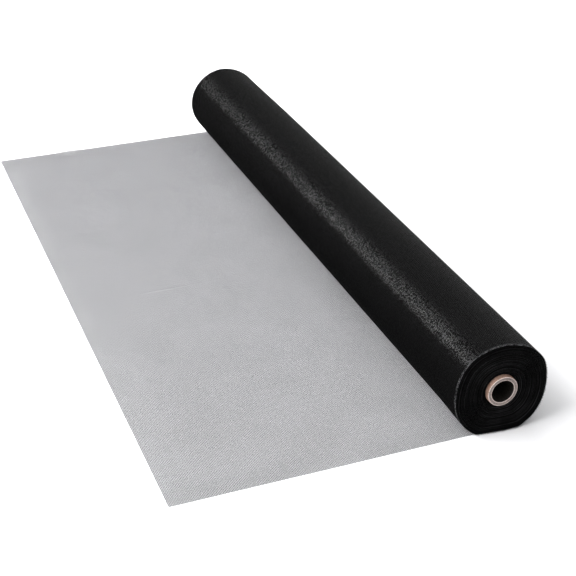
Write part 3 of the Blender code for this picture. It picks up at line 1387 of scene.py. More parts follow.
@dataclass
class LoosenedTurns:
    """The turns just under the last one, where they stand off the winding.

    Attributes:
        form: the roll's form.
        under: how far the outermost of them lies below the last turn's yarns.
        start: first angle, in degrees.
        stop: last angle.
        steps: stretches from start to stop.
        reach: how far along the roll they go.
        rows: stretches along the roll.
        thinnest: how thick a turn is where the gap is shut.
        gap_share: how much of the gap its thickness may fill as well.
        turns: the turns.
    """

    form: RollForm
    under: float = 0.30 * MM
    start: float = 46.0
    stop: float = 212.0
    steps: int = 68
    reach: float = 46.0 * MM
    rows: int = 12
    thinnest: float = 0.02 * MM
    gap_share: float = 0.4
    turns: tuple[LooseTurn, ...] = (
        LooseTurn(0.0, 0.9 * MM, 0.4 * MM),
        LooseTurn(0.50, 1.2 * MM, 0.9 * MM),
    )

    def build(self, cloth: bpy.types.Material, cut: bpy.types.Material) -> bpy.types.Object:
        """Build the loosened turns as thin curved strips in one mesh, their cut edges pale.

        Args:
            cloth: finish of the turns.
            cut: finish of their cut edges.

        Returns:
            The new piece.
        """
        builder = bmesh.new()
        builder.loops.layers.uv.new(WEAVE_MAP)
        for turn in self.turns:
            self.add_strip(builder, turn)
        mesh = bpy.data.meshes.new("loosened_turns")
        smooth_mesh(mesh, builder, sharp_from=40)
        return add_piece("loosened_turns", mesh, (cloth, cut))

    def add_strip(self, builder: bmesh.types.BMesh, turn: LooseTurn) -> None:
        """Add one turn's strip: an outer and an inner layer, joined round their rim.

        Args:
            builder: the mesh that takes the strip.
            turn: the turn.
        """
        angle = np.linspace(self.start, self.stop, self.steps + 1)
        edge = self.form.edge(RollEnd.NEAR, 1.0, angle) + turn.set_back
        layers = []
        for inner in (False, True):
            rows = []
            for row in range(self.rows + 1):
                y = edge + self.reach * row / self.rows
                gap = self.form.slack_gap(angle, y)
                depth = self.under + turn.inside * gap
                if inner:
                    depth = depth + np.minimum(turn.thickness, self.gap_share * gap + self.thinnest)
                skin = self.form.skin(angle, y, depth)
                rows.append([builder.verts.new((x, at_y, z)) for (x, z), at_y in zip(skin, y)])
            layers.append(rows)
        for rows in layers:
            for row, after in zip(rows, rows[1:]):
                for step in range(self.steps):
                    builder.faces.new((row[step], row[step + 1], after[step + 1], after[step]))
        rims = zip(*(self.rim_of(rows) for rows in layers))
        for place, (low, high) in enumerate(rims):
            face = builder.faces.new((low[0], low[1], high[1], high[0]))
            face.material_index = 1 if place < self.steps else 0

    @staticmethod
    def rim_of(rows: list[list[Any]]) -> list[tuple[Any, Any]]:
        """Return the edge pairs once round a grid of vertices.

        Args:
            rows: the grid's rows of vertices.

        Returns:
            The pairs.
        """
        rim = list(rows[0]) + [row[-1] for row in rows[1:]]
        rim += list(reversed(rows[-1]))[1:] + [row[0] for row in reversed(rows)][1:-1]
        return list(zip(rim, rim[1:] + rim[:1]))


@dataclass
class LastTurn:
    """The cloth's last turn round the roll, yarn by yarn, in a near and a far half.

    Attributes:
        form: the roll's form.
        yarns: the yarns' sizes.
        under: how far the yarns' undersides lie below the outermost surface.
        ring_steps: points on a yarn that runs round the roll.
        length_steps: points on half of a yarn that runs along the roll.
        flattened: the height of the yarns along the roll, as a share of the others'.
        drift: how far a yarn wanders from its even place.
        slip: how far a yarn along the roll lies off its place, as a share of its pitch.
        frayed: how many yarns at the near cut edge show their pale glass; the far one stays coated.
        lean: how much the drifts of the yarns round the roll differ, as a share of drift.
        lead_step: how far their waves turn from one to the next.
        waver: how far a yarn along the roll wavers round it, in degrees.
        clump: how many cut tips stick out together.
        tip_lengths: the least length of a tip, what its clump adds and what chance adds, as
            shares of the yarns' overhang.
        tip_root: how far inside the cloth's edge a tip begins.
        tip_paleness: how far tips differ in paleness, in crossings of the weave.
        tip_bend: how far tips bend aside, as a share of drift.
        tip_heights: a tip's height at its root and at its end, as a share of the yarn's.
        seed: the seed of that unevenness.
    """

    form: RollForm
    yarns: Yarns
    under: float = 0.28 * MM
    flattened: float = 0.86
    ring_steps: int = 60
    length_steps: int = 16
    drift: float = 0.10 * MM
    slip: float = 0.12
    frayed: int = 1
    lean: float = 0.45
    lead_step: float = 0.043
    waver: float = 0.12
    clump: int = 4
    tip_lengths: tuple[float, float, float] = (0.3, 2.0, 1.4)
    tip_root: float = 0.1 * MM
    tip_paleness: float = 0.7
    tip_bend: float = 6.0
    tip_heights: tuple[float, float] = (1.08, 0.75)
    seed: int = 7

    def frame_at(self, angle: Array, along: Array) -> tuple[Array, Array]:
        """Return the underside's points and the outward directions at angles and places.

        Args:
            angle: where round the roll, in degrees.
            along: the place along Y.

        Returns:
            The points and the directions.
        """
        half_step = 0.5
        here, before, after = (
            self.form.skin(angle + turned, along, self.under) for turned in (0.0, -half_step, half_step)
        )
        run = after - before
        run = run / np.maximum(np.linalg.norm(run, axis=-1, keepdims=True), 1e-9)
        points = np.stack([here[..., 0], along, here[..., 1]], axis=-1)
        outward = np.stack([run[..., 1], np.zeros_like(along), -run[..., 0]], axis=-1)
        return points, outward

    def uneven_angles(self, draw: np.random.Generator) -> Array:
        """Draw the angles of the yarns along the roll, in one column."""
        slips = self.slip * draw.normal(0.0, 1.0, (self.length_count, 1))
        return 360.0 * (np.arange(self.length_count)[:, None] + slips) / self.length_count

    @property
    def ring_count(self) -> int:
        """How many yarns run round the roll."""
        return round(self.form.cloth_width / self.yarns.across_pitch)

    @property
    def length_count(self) -> int:
        """How many yarns run along the roll."""
        return round(math.tau * self.form.radius / self.yarns.along_pitch)

    def rings(self, end: RollEnd) -> MeshPart:
        """Build one half's yarns that run round the roll.

        Args:
            end: which end the half is at.

        Returns:
            The yarns as one part.
        """
        total, steps = self.ring_count, self.ring_steps
        half = total // 2
        number = np.arange(half) if end is RollEnd.NEAR else np.arange(half, total)
        draw = np.random.default_rng(self.seed)
        lean = draw.normal(0.0, self.lean, total)[number][:, None]
        lead = (number * self.lead_step)[:, None]
        angle = np.broadcast_to(360.0 * np.arange(steps) / steps, (number.size, steps))
        turn = np.radians(angle)
        wave = np.sin(turn * 3.0 + lead) + 0.6 * np.sin(turn * 7.0 - 1.7 * lead)
        y = self.form.across((number[:, None] + 0.5) / total, angle) + self.drift * (lean + wave)
        points, outward = self.frame_at(angle, y)
        sideways = np.zeros_like(points)
        sideways[..., 1] = 1.0
        crossed = self.length_count * np.arange(steps + 1) / steps
        part = sweep_yarns(points, outward, sideways, number[:, None] + crossed, self.yarns)
        runs = np.where(number < self.frayed, YarnRun.CUT.value, YarnRun.ROUND.value)
        return replace(part, finishes=np.repeat(runs, len(part.faces) // number.size))

    def lengths(self, end: RollEnd) -> MeshPart:
        """Build one half's yarns that run along the roll.

        Args:
            end: which end the half is at.

        Returns:
            The yarns as one part.
        """
        count, steps = self.length_count, self.length_steps
        draw = np.random.default_rng(self.seed + 2 + end.value)
        reach = 1.0 - np.cos(0.5 * math.pi * np.arange(steps) / (steps - 1))
        part = 0.5 * reach if end is RollEnd.NEAR else 1.0 - 0.5 * reach
        part = np.broadcast_to(part, (count, steps))
        base = self.uneven_angles(draw)
        angle = base + self.waver * np.sin(14.0 * part + base)
        points, outward = self.frame_at(angle, self.form.across(part, angle))
        outward = outward * self.flattened
        sideways = np.cross(outward, np.array([0.0, 1.0, 0.0]))
        phases = np.arange(count)[:, None] + part * self.ring_count + 0.5
        yarns = sweep_yarns(points, outward, sideways, phases, self.yarns)
        return yarns.flat().dressed(YarnRun.ALONG.value)

    def tips(self, end: RollEnd) -> MeshPart:
        """Build the cut ends of the yarns along the roll, which show their pale glass at the near end.

        Args:
            end: which end they are at.

        Returns:
            The tips as one part.
        """
        count = self.length_count
        draw = np.random.default_rng(self.seed + 11 + end.value)
        angle = np.broadcast_to(self.uneven_angles(draw), (count, 2))
        knots = np.arange(0, count + self.clump, self.clump)
        strengths = draw.uniform(0.0, 1.0, count // self.clump + 1)
        clumps = np.interp(np.arange(count), knots, strengths)
        shortest, clumped, ragged = self.tip_lengths
        length = shortest + clumped * clumps + draw.uniform(0.0, ragged, count)
        length = self.yarns.overhang * length
        bends = self.drift * self.tip_bend * draw.normal(0.0, 1.0, (count, 1)) * np.array([0.0, 1.0])
        paleness = draw.uniform(0.0, self.tip_paleness, (count, 1)) * np.ones(2)
        part = 0.0 if end is RollEnd.NEAR else 1.0
        y = self.form.across(np.full((count, 2), part), angle)
        y = y + end.value * np.stack([np.full(count, -self.tip_root), length], axis=-1)
        points, outward = self.frame_at(angle, y)
        outward = outward * np.array(self.tip_heights)[None, :, None]
        sideways = np.cross(outward, np.array([0.0, 1.0, 0.0]))
        points = points + bends[..., None] * sideways
        run = YarnRun.CUT if end is RollEnd.NEAR else YarnRun.ALONG
        return sweep_yarns(points, outward, sideways, paleness, self.yarns).dressed(run.value)

    def build(self, end: RollEnd, finishes: dict[YarnRun, bpy.types.Material]) -> bpy.types.Object:
        """Build one half of the last turn.

        Args:
            end: which half.
            finishes: the finish of the yarns that run each way, and of their cut ends.

        Returns:
            The new piece.
        """
        name = f"last_turn_{end.name.lower()}"
        part = join_parts([self.rings(end), self.lengths(end), self.tips(end)])
        return add_piece(name, mesh_of(name, part), [finishes[run] for run in YarnRun])


@dataclass(frozen=True)
class Lift:
    """A soft lift of the drawn-out cloth.

    Attributes:
        x: its middle along X.
        y: its middle along Y.
        half_x: its half width along its own long axis.
        half_y: its half width across that.
        rise: its height.
        turn: the long axis's turn away from X, in degrees.
    """

    x: float
    y: float
    half_x: float
    half_y: float
    rise: float
    turn: float


SHEET_LIFTS = (
    Lift(-0.262, 0.457, 0.022, 0.016, 1.8 * MM, 0),
    Lift(-0.250, -0.0312, 0.100, 0.003, 0.92 * MM, 0),
    Lift(-0.330, 0.250, 0.070, 0.030, 0.8 * MM, 12),
    Lift(-0.150, 0.140, 0.110, 0.018, 0.7 * MM, -8),
    Lift(-0.230, -0.250, 0.090, 0.022, 0.8 * MM, 7),
    Lift(-0.371, 0.060, 0.030, 0.090, 0.9 * MM, 0),
    Lift(-0.371, -0.330, 0.026, 0.060, 0.7 * MM, 0),
)


@dataclass
class DrawnOutSheet:
    """The free end of the cloth, drawn out over the floor, yarn by yarn.

    Attributes:
        yarns: the yarns' sizes.
        free_x: the free edge along X.
        hidden_x: the edge under the roll.
        near_y: the near edge along Y.
        far_y: the far edge.
        lifts_end_from: where along X the lifts begin to die away.
        lifts_end_at: where the roll's weight holds the cloth flat.
        hugs_below: a lift lower than this sinks flat to the floor.
        rest: how high the yarns along lie over the floor, on average.
        ripple: how far the cloth wavers up and down about that.
        pile: how much higher the yarns across lie than the yarns along.
        drift: how far a yarn wanders from its even place.
        slow_drift: how far whole bands of yarns wander, as a share of drift.
        bands: how many such bands lie across the cloth, for each kind of them.
        slip: how much single yarns slip, as a share of drift.
        settled_edge: the share of the cloth next to its edges where no band wanders.
        waver: how far yarns across and along waver aside, as shares of drift.
        cut_tips: how far the longest cut tip stands out, as a share of the yarns' overhang.
        stations: how many points a yarn across, and one along, has.
        crease_stations: how many more one along has at the crease.
        corner_stations: how many more both have at the raised corner.
        crease_y: the span along Y where a crease needs more points.
        raised_corner_x: the span along X where the far edge lifts and needs more points.
        raised_corner_y: where along Y that lift begins.
        seed: the seed of that unevenness.
    """

    yarns: Yarns
    free_x: float
    hidden_x: float
    near_y: float
    far_y: float
    lifts_end_from: float = -0.120
    lifts_end_at: float = -0.060
    hugs_below: float = 0.6 * MM
    rest: float = 0.30 * MM
    ripple: float = 0.015 * MM
    pile: float = 0.04 * MM
    drift: float = 0.10 * MM
    slow_drift: float = 1.6
    bands: tuple[float, ...] = (5.0, 11.0, 23.0, 41.0, 77.0)
    slip: float = 0.24
    settled_edge: float = 0.02
    waver: tuple[float, float] = (0.8, 0.9)
    cut_tips: float = 0.8
    stations: tuple[int, int] = (13, 25)
    crease_stations: int = 9
    corner_stations: tuple[int, int] = (10, 6)
    crease_y: tuple[float, float] = (-0.0402, -0.0222)
    raised_corner_x: tuple[float, float] = (-0.302, -0.222)
    raised_corner_y: float = 0.360
    seed: int = 19

    @classmethod
    def from_frame(cls, yarns: Yarns) -> DrawnOutSheet:
        """Return the sheet with its edges read from the frame."""
        low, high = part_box("loose_sheet")
        return cls(yarns=yarns, free_x=low[0], hidden_x=high[0], near_y=low[1], far_y=high[1])

    @property
    def flat_size(self) -> tuple[float, float]:
        """The cut size: along the roll, then from the free edge to under the roll."""
        return self.far_y - self.near_y, self.hidden_x - self.free_x

    def lift(self, x: Array, y: Array) -> Array:
        """Return how high the cloth stands off the floor at places.

        Args:
            x: the places along X.
            y: the places along Y.

        Returns:
            The heights.
        """
        height = np.zeros(np.broadcast(x, y).shape)
        for lift in SHEET_LIFTS:
            cosine, sine = math.cos(math.radians(lift.turn)), math.sin(math.radians(lift.turn))
            along = (x - lift.x) * cosine + (y - lift.y) * sine
            across = (y - lift.y) * cosine - (x - lift.x) * sine
            bell = np.exp(-((along / lift.half_x) ** 2) - (across / lift.half_y) ** 2)
            height = height + lift.rise * bell
        held = fade_between(x, self.lifts_end_from, self.lifts_end_at)
        waver = np.sin(31.0 * x + 17.0 * y) * np.sin(43.0 * y - 11.0 * x + 1.3)
        return self.rest + held * (self.ripple * waver + np.maximum(height - self.hugs_below, 0.0))

    def even_places(self, low: float, high: float, pitch: float, stream: int) -> Array:
        """Place yarns side by side, with slow drifts and small slips in their spacing.

        Args:
            low: the cloth's first edge.
            high: its other edge.
            pitch: the yarns' spacing.
            stream: which random stream it draws from.

        Returns:
            The places.
        """
        count = round((high - low) / pitch)
        draw = np.random.default_rng(self.seed + stream)
        part = (np.arange(count) + 0.5) / count
        drift = np.zeros(count)
        for waves in self.bands:
            strength, lead = draw.uniform(0.5, 1.0), draw.uniform(0.0, 1.0)
            drift += strength * np.sin(math.tau * (waves * part + lead)) / waves**0.5
        slip = draw.normal(0.0, self.slip, count)
        settled = smooth_fade((0.5 - np.abs(part - 0.5)) / self.settled_edge)
        drift = self.slow_drift * drift * (1.0 - settled)
        return low + (high - low) * part + self.drift * (drift + slip)

    def places_across(self) -> Array:
        """Return where the yarns that run from the free edge to under the roll lie along Y."""
        return self.even_places(self.near_y, self.far_y, self.yarns.across_pitch, 1)

    def places_along(self) -> Array:
        """Return where the yarns that run from the near edge to the far edge lie along X."""
        return self.even_places(self.free_x, self.hidden_x, self.yarns.along_pitch, 2)

    def across_yarns(self) -> MeshPart:
        """Build the yarns that run from the free edge to under the roll.

        Returns:
            The yarns as one part.
        """
        stations = np.linspace(self.free_x, self.hidden_x, self.stations[0])
        corner = np.linspace(*self.raised_corner_x, self.corner_stations[0])
        stations = np.union1d(stations, corner)
        places, others = self.places_across(), self.places_along()
        x, y = np.meshgrid(stations, places)
        y = y + self.drift * np.sin(21.0 * x + 9.0 * y) * self.waver[0]
        points = np.stack([x, y, self.lift(x, y) + self.pile], axis=-1)
        draw = np.random.default_rng(self.seed + 5)
        points[:, 0, 0] -= self.yarns.overhang * draw.uniform(0.0, self.cut_tips, places.size)
        crossed = np.interp(x, others, np.arange(others.size))
        return self.lay(points, np.array([0.0, 1.0, 0.0]), crossed)

    def along_yarns(self) -> MeshPart:
        """Build the yarns that run from the near edge to the far edge.

        Returns:
            The yarns as one part.
        """
        stations = np.linspace(self.near_y, self.far_y, self.stations[1])
        crease = np.linspace(*self.crease_y, self.crease_stations)
        corner = np.linspace(self.raised_corner_y, self.far_y, self.corner_stations[1])
        stations = np.union1d(np.union1d(stations, crease), corner)
        places, others = self.places_along(), self.places_across()
        y, x = np.meshgrid(stations, places)
        x = x + self.drift * np.sin(13.0 * y + 17.0 * x) * self.waver[1]
        points = np.stack([x, y, self.lift(x, y)], axis=-1)
        draw = np.random.default_rng(self.seed + 6)
        points[:, 0, 1] -= self.yarns.overhang * draw.uniform(0.0, self.cut_tips, places.size)
        points[:, -1, 1] += self.yarns.overhang * draw.uniform(0.0, self.cut_tips, places.size)
        crossed = np.interp(y, others, np.arange(others.size)) + 1.0
        return self.lay(points, np.array([1.0, 0.0, 0.0]), crossed)

    def lay(self, points: Array, sideways: Array, crossed: Array) -> MeshPart:
        """Sweep yarns that lie on the floor.

        Args:
            points: the yarns' paths.
            sideways: the direction across them.
            crossed: how many yarns each has crossed at each point.

        Returns:
            The yarns as one part.
        """
        up = np.zeros_like(points)
        up[..., 2] = 1.0
        phases = crossed + np.arange(len(points))[:, None]
        return sweep_yarns(points, up, np.broadcast_to(sideways, points.shape), phases, self.yarns)

    def build(self, across: bpy.types.Material, along: bpy.types.Material) -> bpy.types.Object:
        """Build the sheet, its yarns across and along in a finish each."""
        part = join_parts([self.across_yarns(), self.along_yarns().dressed(1)])
        return add_piece("drawn_out_sheet", mesh_of("drawn_out_sheet", part), (across, along))


@dataclass
class CardboardTube:
    """The tube that the cloth is wound on, with its plies showing at the cut ends.

    Attributes:
        centre: x and z of its axis.
        middle_y: the middle of its length.
        half_length: half its length.
        outer: outer radius.
        inner: inner radius.
        plies: how many layers of paper its wall has.
        steps: points round it.
        rough_end: how far a ply's cut edge lies back or forward.
        ply_back: how far it lies back on average, in its waves and by chance, as shares of that.
        rim_back: how much further the outermost and the innermost ply lie back.
        ply_corners: where across a ply its cut edge starts and stops, and where the groove lies.
        pressed: how far the outer edge is pressed in at the cut ends.
        corner_pressed: the share of that at the rounded edge's own corner.
        pressed_from: how far from the ends that begins.
        shoulder: how far from the ends the rounded edges begin.
        groove: how deep the grooves between the plies' cut edges go.
        waves: how many waves a ply's cut edge has once round, of each kind.
        seam_pitch: how far along Y the spiral seam goes in one turn.
        seed: the seed of the plies' unevenness.
    """

    centre: tuple[float, float]
    middle_y: float
    half_length: float
    outer: float
    inner: float
    plies: int = 9
    steps: int = 96
    rough_end: float = 0.22 * MM
    ply_back: tuple[float, float, float] = (0.6, 0.25, 0.5)
    rim_back: float = 0.9
    ply_corners: tuple[float, float, float] = (0.12, 0.80, 0.96)
    pressed: float = 0.55 * MM
    corner_pressed: float = 0.8
    pressed_from: float = 4.5 * MM
    shoulder: float = 0.5 * MM
    groove: float = 0.14 * MM
    waves: tuple[int, ...] = (1, 2, 5, 9)
    seam_pitch: float = 58.0 * MM
    seed: int = 3

    @classmethod
    def from_frame(cls, inner: float) -> CardboardTube:
        """Return the tube with its place and outer size read from the frame.

        Args:
            inner: the bore's radius.

        Returns:
            The tube.
        """
        low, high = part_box("core_tube")
        middle = [(start + stop) / 2 for start, stop in zip(low, high)]
        return cls(
            centre=(middle[0], middle[2]),
            middle_y=middle[1],
            half_length=(high[1] - low[1]) / 2,
            outer=(high[2] - low[2]) / 2,
            inner=inner,
        )

    def end_profile(self, end: RollEnd) -> list[tuple[float, Array, PaperSide]]:
        """List radius, place along Y round the tube, and the paper's side, from outside in.

        Args:
            end: which end of the tube.

        Returns:
            The profile.
        """
        draw = np.random.default_rng(self.seed + end.value)
        turn = math.tau * np.arange(self.steps) / self.steps
        rim = self.outer - self.pressed
        pitch = (rim - self.inner) / self.plies
        mean, waved, ragged = self.ply_back
        profile = []
        for ply in range(self.plies):
            wave = np.zeros(self.steps)
            for waves in self.waves:
                strength, lead = draw.uniform(-1.0, 1.0), draw.uniform(0.0, math.tau)
                wave = wave + strength * np.sin(waves * turn + lead)
            back = self.rough_end * (mean + waved * wave + ragged * draw.uniform(0.0, 1.0))
            back += self.rough_end * (self.rim_back if ply in (0, self.plies - 1) else 0.0)
            y = end.value * (self.half_length - np.maximum(back, 0.0))
            grooved = y - end.value * self.groove
            edges = list(zip(self.ply_corners, (y, y, grooved)))
            if ply == self.plies - 1:
                edges.pop()
            profile += [(rim - (ply + inside) * pitch, edge, PaperSide.CUT) for inside, edge in edges]
        return profile

    def build(self, finishes: dict[PaperSide, bpy.types.Material]) -> bpy.types.Object:
        """Build the tube as one closed mesh.

        Args:
            finishes: the finish of each side of its paper.

        Returns:
            The new piece.
        """
        flat = np.full(self.steps, 1.0)
        shoulder, straight = self.half_length - self.shoulder, self.half_length - self.pressed_from
        corner = self.outer - self.corner_pressed * self.pressed
        wall, cut, bore = PaperSide.WALL, PaperSide.CUT, PaperSide.BORE
        bore_parts, wall_parts = (-1.0, -0.9, -0.5, 0.0, 0.5, 0.9), (1.0, 0.9, 0.0, -0.9, -1.0)
        loops: list[tuple[float, Array, PaperSide]] = [(corner, -shoulder * flat, cut)]
        loops += self.end_profile(RollEnd.NEAR)
        loops += [(self.inner, shoulder * part * flat, bore) for part in bore_parts]
        loops += [(self.inner, shoulder * flat, cut)]
        loops += list(reversed(self.end_profile(RollEnd.FAR)))
        loops += [(corner, shoulder * flat, wall)]
        loops += [(self.outer, straight * part * flat, wall) for part in wall_parts]
        turn = math.tau * np.arange(self.steps) / self.steps
        builder = bmesh.new()
        rings = []
        for radius, y, _ in loops:
            x = self.centre[0] + radius * np.cos(turn)
            z = self.centre[1] + radius * np.sin(turn)
            rings.append([builder.verts.new(point) for point in zip(x, self.middle_y + y, z)])
        for ring, after, (_, _, side) in zip(rings, rings[1:] + rings[:1], loops):
            for step in range(self.steps):
                onward = (step + 1) % self.steps
                face = builder.faces.new((ring[step], ring[onward], after[onward], after[step]))
                face.material_index = side.value
        mesh = bpy.data.meshes.new("cardboard_tube")
        smooth_mesh(mesh, builder, sharp_from=40)
        return add_piece("cardboard_tube", mesh, [finishes[side] for side in PaperSide])


@dataclass(frozen=True)
class SoftLight:
    """A flat studio light.

    Attributes:
        name: its name.
        place: where its middle is.
        aim: the point it faces.
        size: its width and its length along Y.
        radiance: how bright its surface is.
        in_gloss: whether glossy surfaces mirror it.
    """

    name: str
    place: tuple[float, float, float]
    aim: tuple[float, float, float]
    size: tuple[float, float]
    radiance: float
    in_gloss: bool

    def build(self) -> bpy.types.Object:
        """Add the light to the scene.

        Returns:
            The light's object.
        """
        lamp = bpy.data.lights.new(self.name, "AREA")
        lamp.shape = "RECTANGLE"
        lamp.size_y, lamp.size = self.size
        lamp.energy = self.radiance * math.pi * self.size[0] * self.size[1]
        light = bpy.data.objects.new(self.name, lamp)
        light.location = self.place
        away = Vector(self.place) - Vector(self.aim)
        light.rotation_euler = away.to_track_quat("Z", "Y").to_euler()
        light.visible_glossy = self.in_gloss
        light.visible_camera = False
        bpy.context.scene.collection.objects.link(light)
        return light


@dataclass(frozen=True)
class SoftboxStrip:
    """One strip of the long softbox, as the roll's axis sees it.

    Attributes:
        low: angle of its lower edge, in degrees from +X towards +Z.
        high: angle of its upper edge.
        radiance: how bright it is.
    """

    low: float
    high: float
    radiance: float

    def light(self, distance: float, middle_y: float, length: float, axis_height: float) -> SoftLight:
        """Return the strip as a light.

        Args:
            distance: how far it stands from the roll's axis.
            middle_y: where its middle is along Y.
            length: its length along Y.
            axis_height: the height of the roll's axis.

        Returns:
            The light.
        """
        turn = math.radians((self.low + self.high) / 2)
        width = 2 * distance * math.tan(math.radians(self.low - self.high) / 2)
        place = (distance * math.cos(turn), middle_y, axis_height + distance * math.sin(turn))
        aim = (0.0, middle_y, axis_height)
        return SoftLight(f"softbox_{self.low:.0f}", place, aim, (width, length), self.radiance, True)


SOFTBOX = (
    SoftboxStrip(156, 149, 4.6),
    SoftboxStrip(149, 142, 10.4),
    SoftboxStrip(142, 131, 12.0),
    SoftboxStrip(131, 120, 5.4),
    SoftboxStrip(120, 108, 1.2),
)
FILLS = (
    SoftLight("far_fill", (0.0, 2.4, 1.05), (0.0, 0.5, 0.0), (3.0, 2.35), 4.0, False),
    SoftLight("near_fill", (0.0, -1.24, 1.27), (0.0, -0.3, 0.0), (1.6, 1.6), 0.7, False),
)


@dataclass(frozen=True)
class Studio:
    """The camera, the pale floor and the soft light.

    Attributes:
        camera_place: where the camera stands.
        camera_turn: its rotation, in degrees.
        lens: its focal length in millimetres, on a sensor 36 mm wide.
        floor_half: half the floor's side.
        softbox: the softbox's distance from the roll's axis, its middle along Y and its length.
        axis_height: the height of the roll's axis, which the softbox faces.
        floor_colour: the floor's red, green and blue.
        diffuse_sky: brightness of the room as it lights the surfaces.
        dark_side: brightness that gloss mirrors from the room's -X side.
        bright_side: brightness that gloss mirrors from its +X side.
        gloss_floor: the floor's brightness in gloss on the sheet's side, as a share of its own.
        bright_floor: the same share on the roll's other side.
        gloss_turn: how far towards +X the one share has turned into the other.
        gloss_sides: the mirrored direction's X where the room is all dark, and all bright.
        white_from: how far out the floor begins to turn pure white to the eye.
        white_at: how far out it is pure white.
    """

    camera_place: tuple[float, float, float] = (-0.62944, -1.44051, 0.81346)
    camera_turn: tuple[float, float, float] = (60.824, -0.140, -21.292)
    lens: float = 80.64
    floor_half: float = 9.0
    softbox: tuple[float, float, float] = (3.0, 1.62, 6.0)
    axis_height: float = 0.05
    floor_colour: tuple[float, float, float] = (0.900, 0.900, 0.914)
    diffuse_sky: float = 0.345
    dark_side: float = 0.04
    bright_side: float = 0.97
    gloss_floor: float = 0.20
    bright_floor: float = 0.68
    gloss_turn: float = 0.5
    gloss_sides: tuple[float, float] = (-0.4, 0.8)
    white_from: float = 1.3
    white_at: float = 2.6

    def lights(self) -> list[SoftLight]:
        """Return the studio's lights: the long softbox's strips and a fill at each end."""
        return [strip.light(*self.softbox, self.axis_height) for strip in SOFTBOX] + list(FILLS)

    def build_camera(self) -> None:
        """Add the camera at the photograph's viewing angle."""
        lens = bpy.data.cameras.new("photo_camera")
        lens.lens = self.lens
        lens.sensor_width = 36.0
        lens.clip_start = 0.05
        lens.clip_end = 60.0
        camera = bpy.data.objects.new("photo_camera", lens)
        camera.location = self.camera_place
        camera.rotation_euler = [math.radians(part) for part in self.camera_turn]
        bpy.context.scene.collection.objects.link(camera)
        bpy.context.scene.camera = camera

    def build_floor(self) -> None:
        """Add the plain pale floor, just below the cloth."""
        builder = bmesh.new()
        bmesh.ops.create_grid(builder, x_segments=1, y_segments=1, size=self.floor_half)
        mesh = bpy.data.meshes.new("studio_floor")
        builder.to_mesh(mesh)
        builder.free()
        bench = MaterialBench("pale_floor", self.floor_colour, roughness=1.0, specular=0.0)
        path, place = bench.add("ShaderNodeLightPath").outputs, bench.place()
        white = bench.colour(tint(self.floor_colour))
        x, _, _ = bench.split(place)
        share = bench.spread(x, 0.0, self.gloss_turn, self.gloss_floor, self.bright_floor)
        shade = bench.blend(path["Is Glossy Ray"], white, bench.scaled(white, share))
        far = bench.spread(bench.length(place), self.white_from, self.white_at)
        glow = bench.scaled(white, bench.times(far, path["Is Camera Ray"]))
        bench.fill(bench.shader, Base_Color=shade, Emission_Color=glow, Emission_Strength=1.0)
        floor = add_piece("studio_floor", mesh, (bench.material,))
        floor.location = (0.0, 0.0, -0.1 * MM)

    def build_room(self) -> None:
        """Set a bright room: white as a backdrop, dimmer as a light."""
        world = bpy.data.worlds.new("bright_room")
        world.use_nodes = True
        bpy.context.scene.world = world
        bench = NodeBench(world.node_tree)
        path = bench.add("ShaderNodeLightPath").outputs
        x, _, _ = bench.split(bench.add("ShaderNodeTexCoord").outputs["Generated"])
        mirrored = bench.spread(x, *self.gloss_sides, self.dark_side, self.bright_side)
        share = bench.times(path["Is Glossy Ray"], bench.minus(mirrored, self.diffuse_sky))
        seen = bench.times(path["Is Camera Ray"], 1.0 - self.diffuse_sky)
        bright = bench.plus(bench.plus(share, seen), self.diffuse_sky)
        bench.fill(world.node_tree.nodes["Background"], Strength=bright, Color=tint((1.0, 1.0, 1.0)))

    def build(self) -> None:
        """Build the whole studio."""
        settings = bpy.context.scene.view_settings
        settings.view_transform = "Standard"
        settings.look = "None"
        self.build_camera()
        self.build_floor()
        self.build_room()
        for light in self.lights():
            light.build()


# The darker black is painted shade: the roll's yarns where they dip under a crossing, and the turns below
# the last one, loosened turns too.
BLACK, SHADED_BLACK = (0.0026, 0.0026, 0.0029), (0.0010, 0.0010, 0.0012)
# The sheet's black yarns get a pale over colour: a painted sheen standing in for the white room mirrored in
# their coat.
PAINTED_SHEEN, DIM = (0.253, 0.253, 0.271), (0.012, 0.012, 0.013)
BARED_GLASS = (0.085, 0.085, 0.088)
ROUND_YARN = YarnFinish(
    name="coated_yarn_round", over_colour=BLACK, under_colour=SHADED_BLACK, coat=1.0, gloss=0.28,
    coat_index=1.90, dull=0.85, patch_scale=460.0, cloud_scale=16.0, clouds=0.15, patches=1.0,
    relief=0.05 * MM, wound=True,
)
ALONG_YARN = replace(ROUND_YARN, name="coated_yarn_along", coat=0.9)
CUT_YARN = YarnFinish(
    name="cut_yarn_ends", over_colour=BARED_GLASS, under_colour=DIM, coat=0.5, gloss=0.5,
    coat_index=1.4, dull=0.7, patch_scale=900.0, cloud_scale=300.0, clouds=0.95, patches=0.5,
    relief=0.02 * MM, wound=False,
)
ACROSS_YARN = YarnFinish(
    name="coated_yarn_across", over_colour=PAINTED_SHEEN, under_colour=DIM, coat=1.0, gloss=0.30,
    coat_index=1.5, dull=0.7, patch_scale=620.0, cloud_scale=16.0, clouds=0.15, patches=0.3,
    relief=0.03 * MM, wound=False,
)
# The lengthwise yarns keep a fainter painted sheen on their crossings.
LENGTHWISE_YARN = replace(
    ACROSS_YARN, name="coated_yarn_lengthwise", over_colour=(0.03, 0.03, 0.032), coat=0.6
)
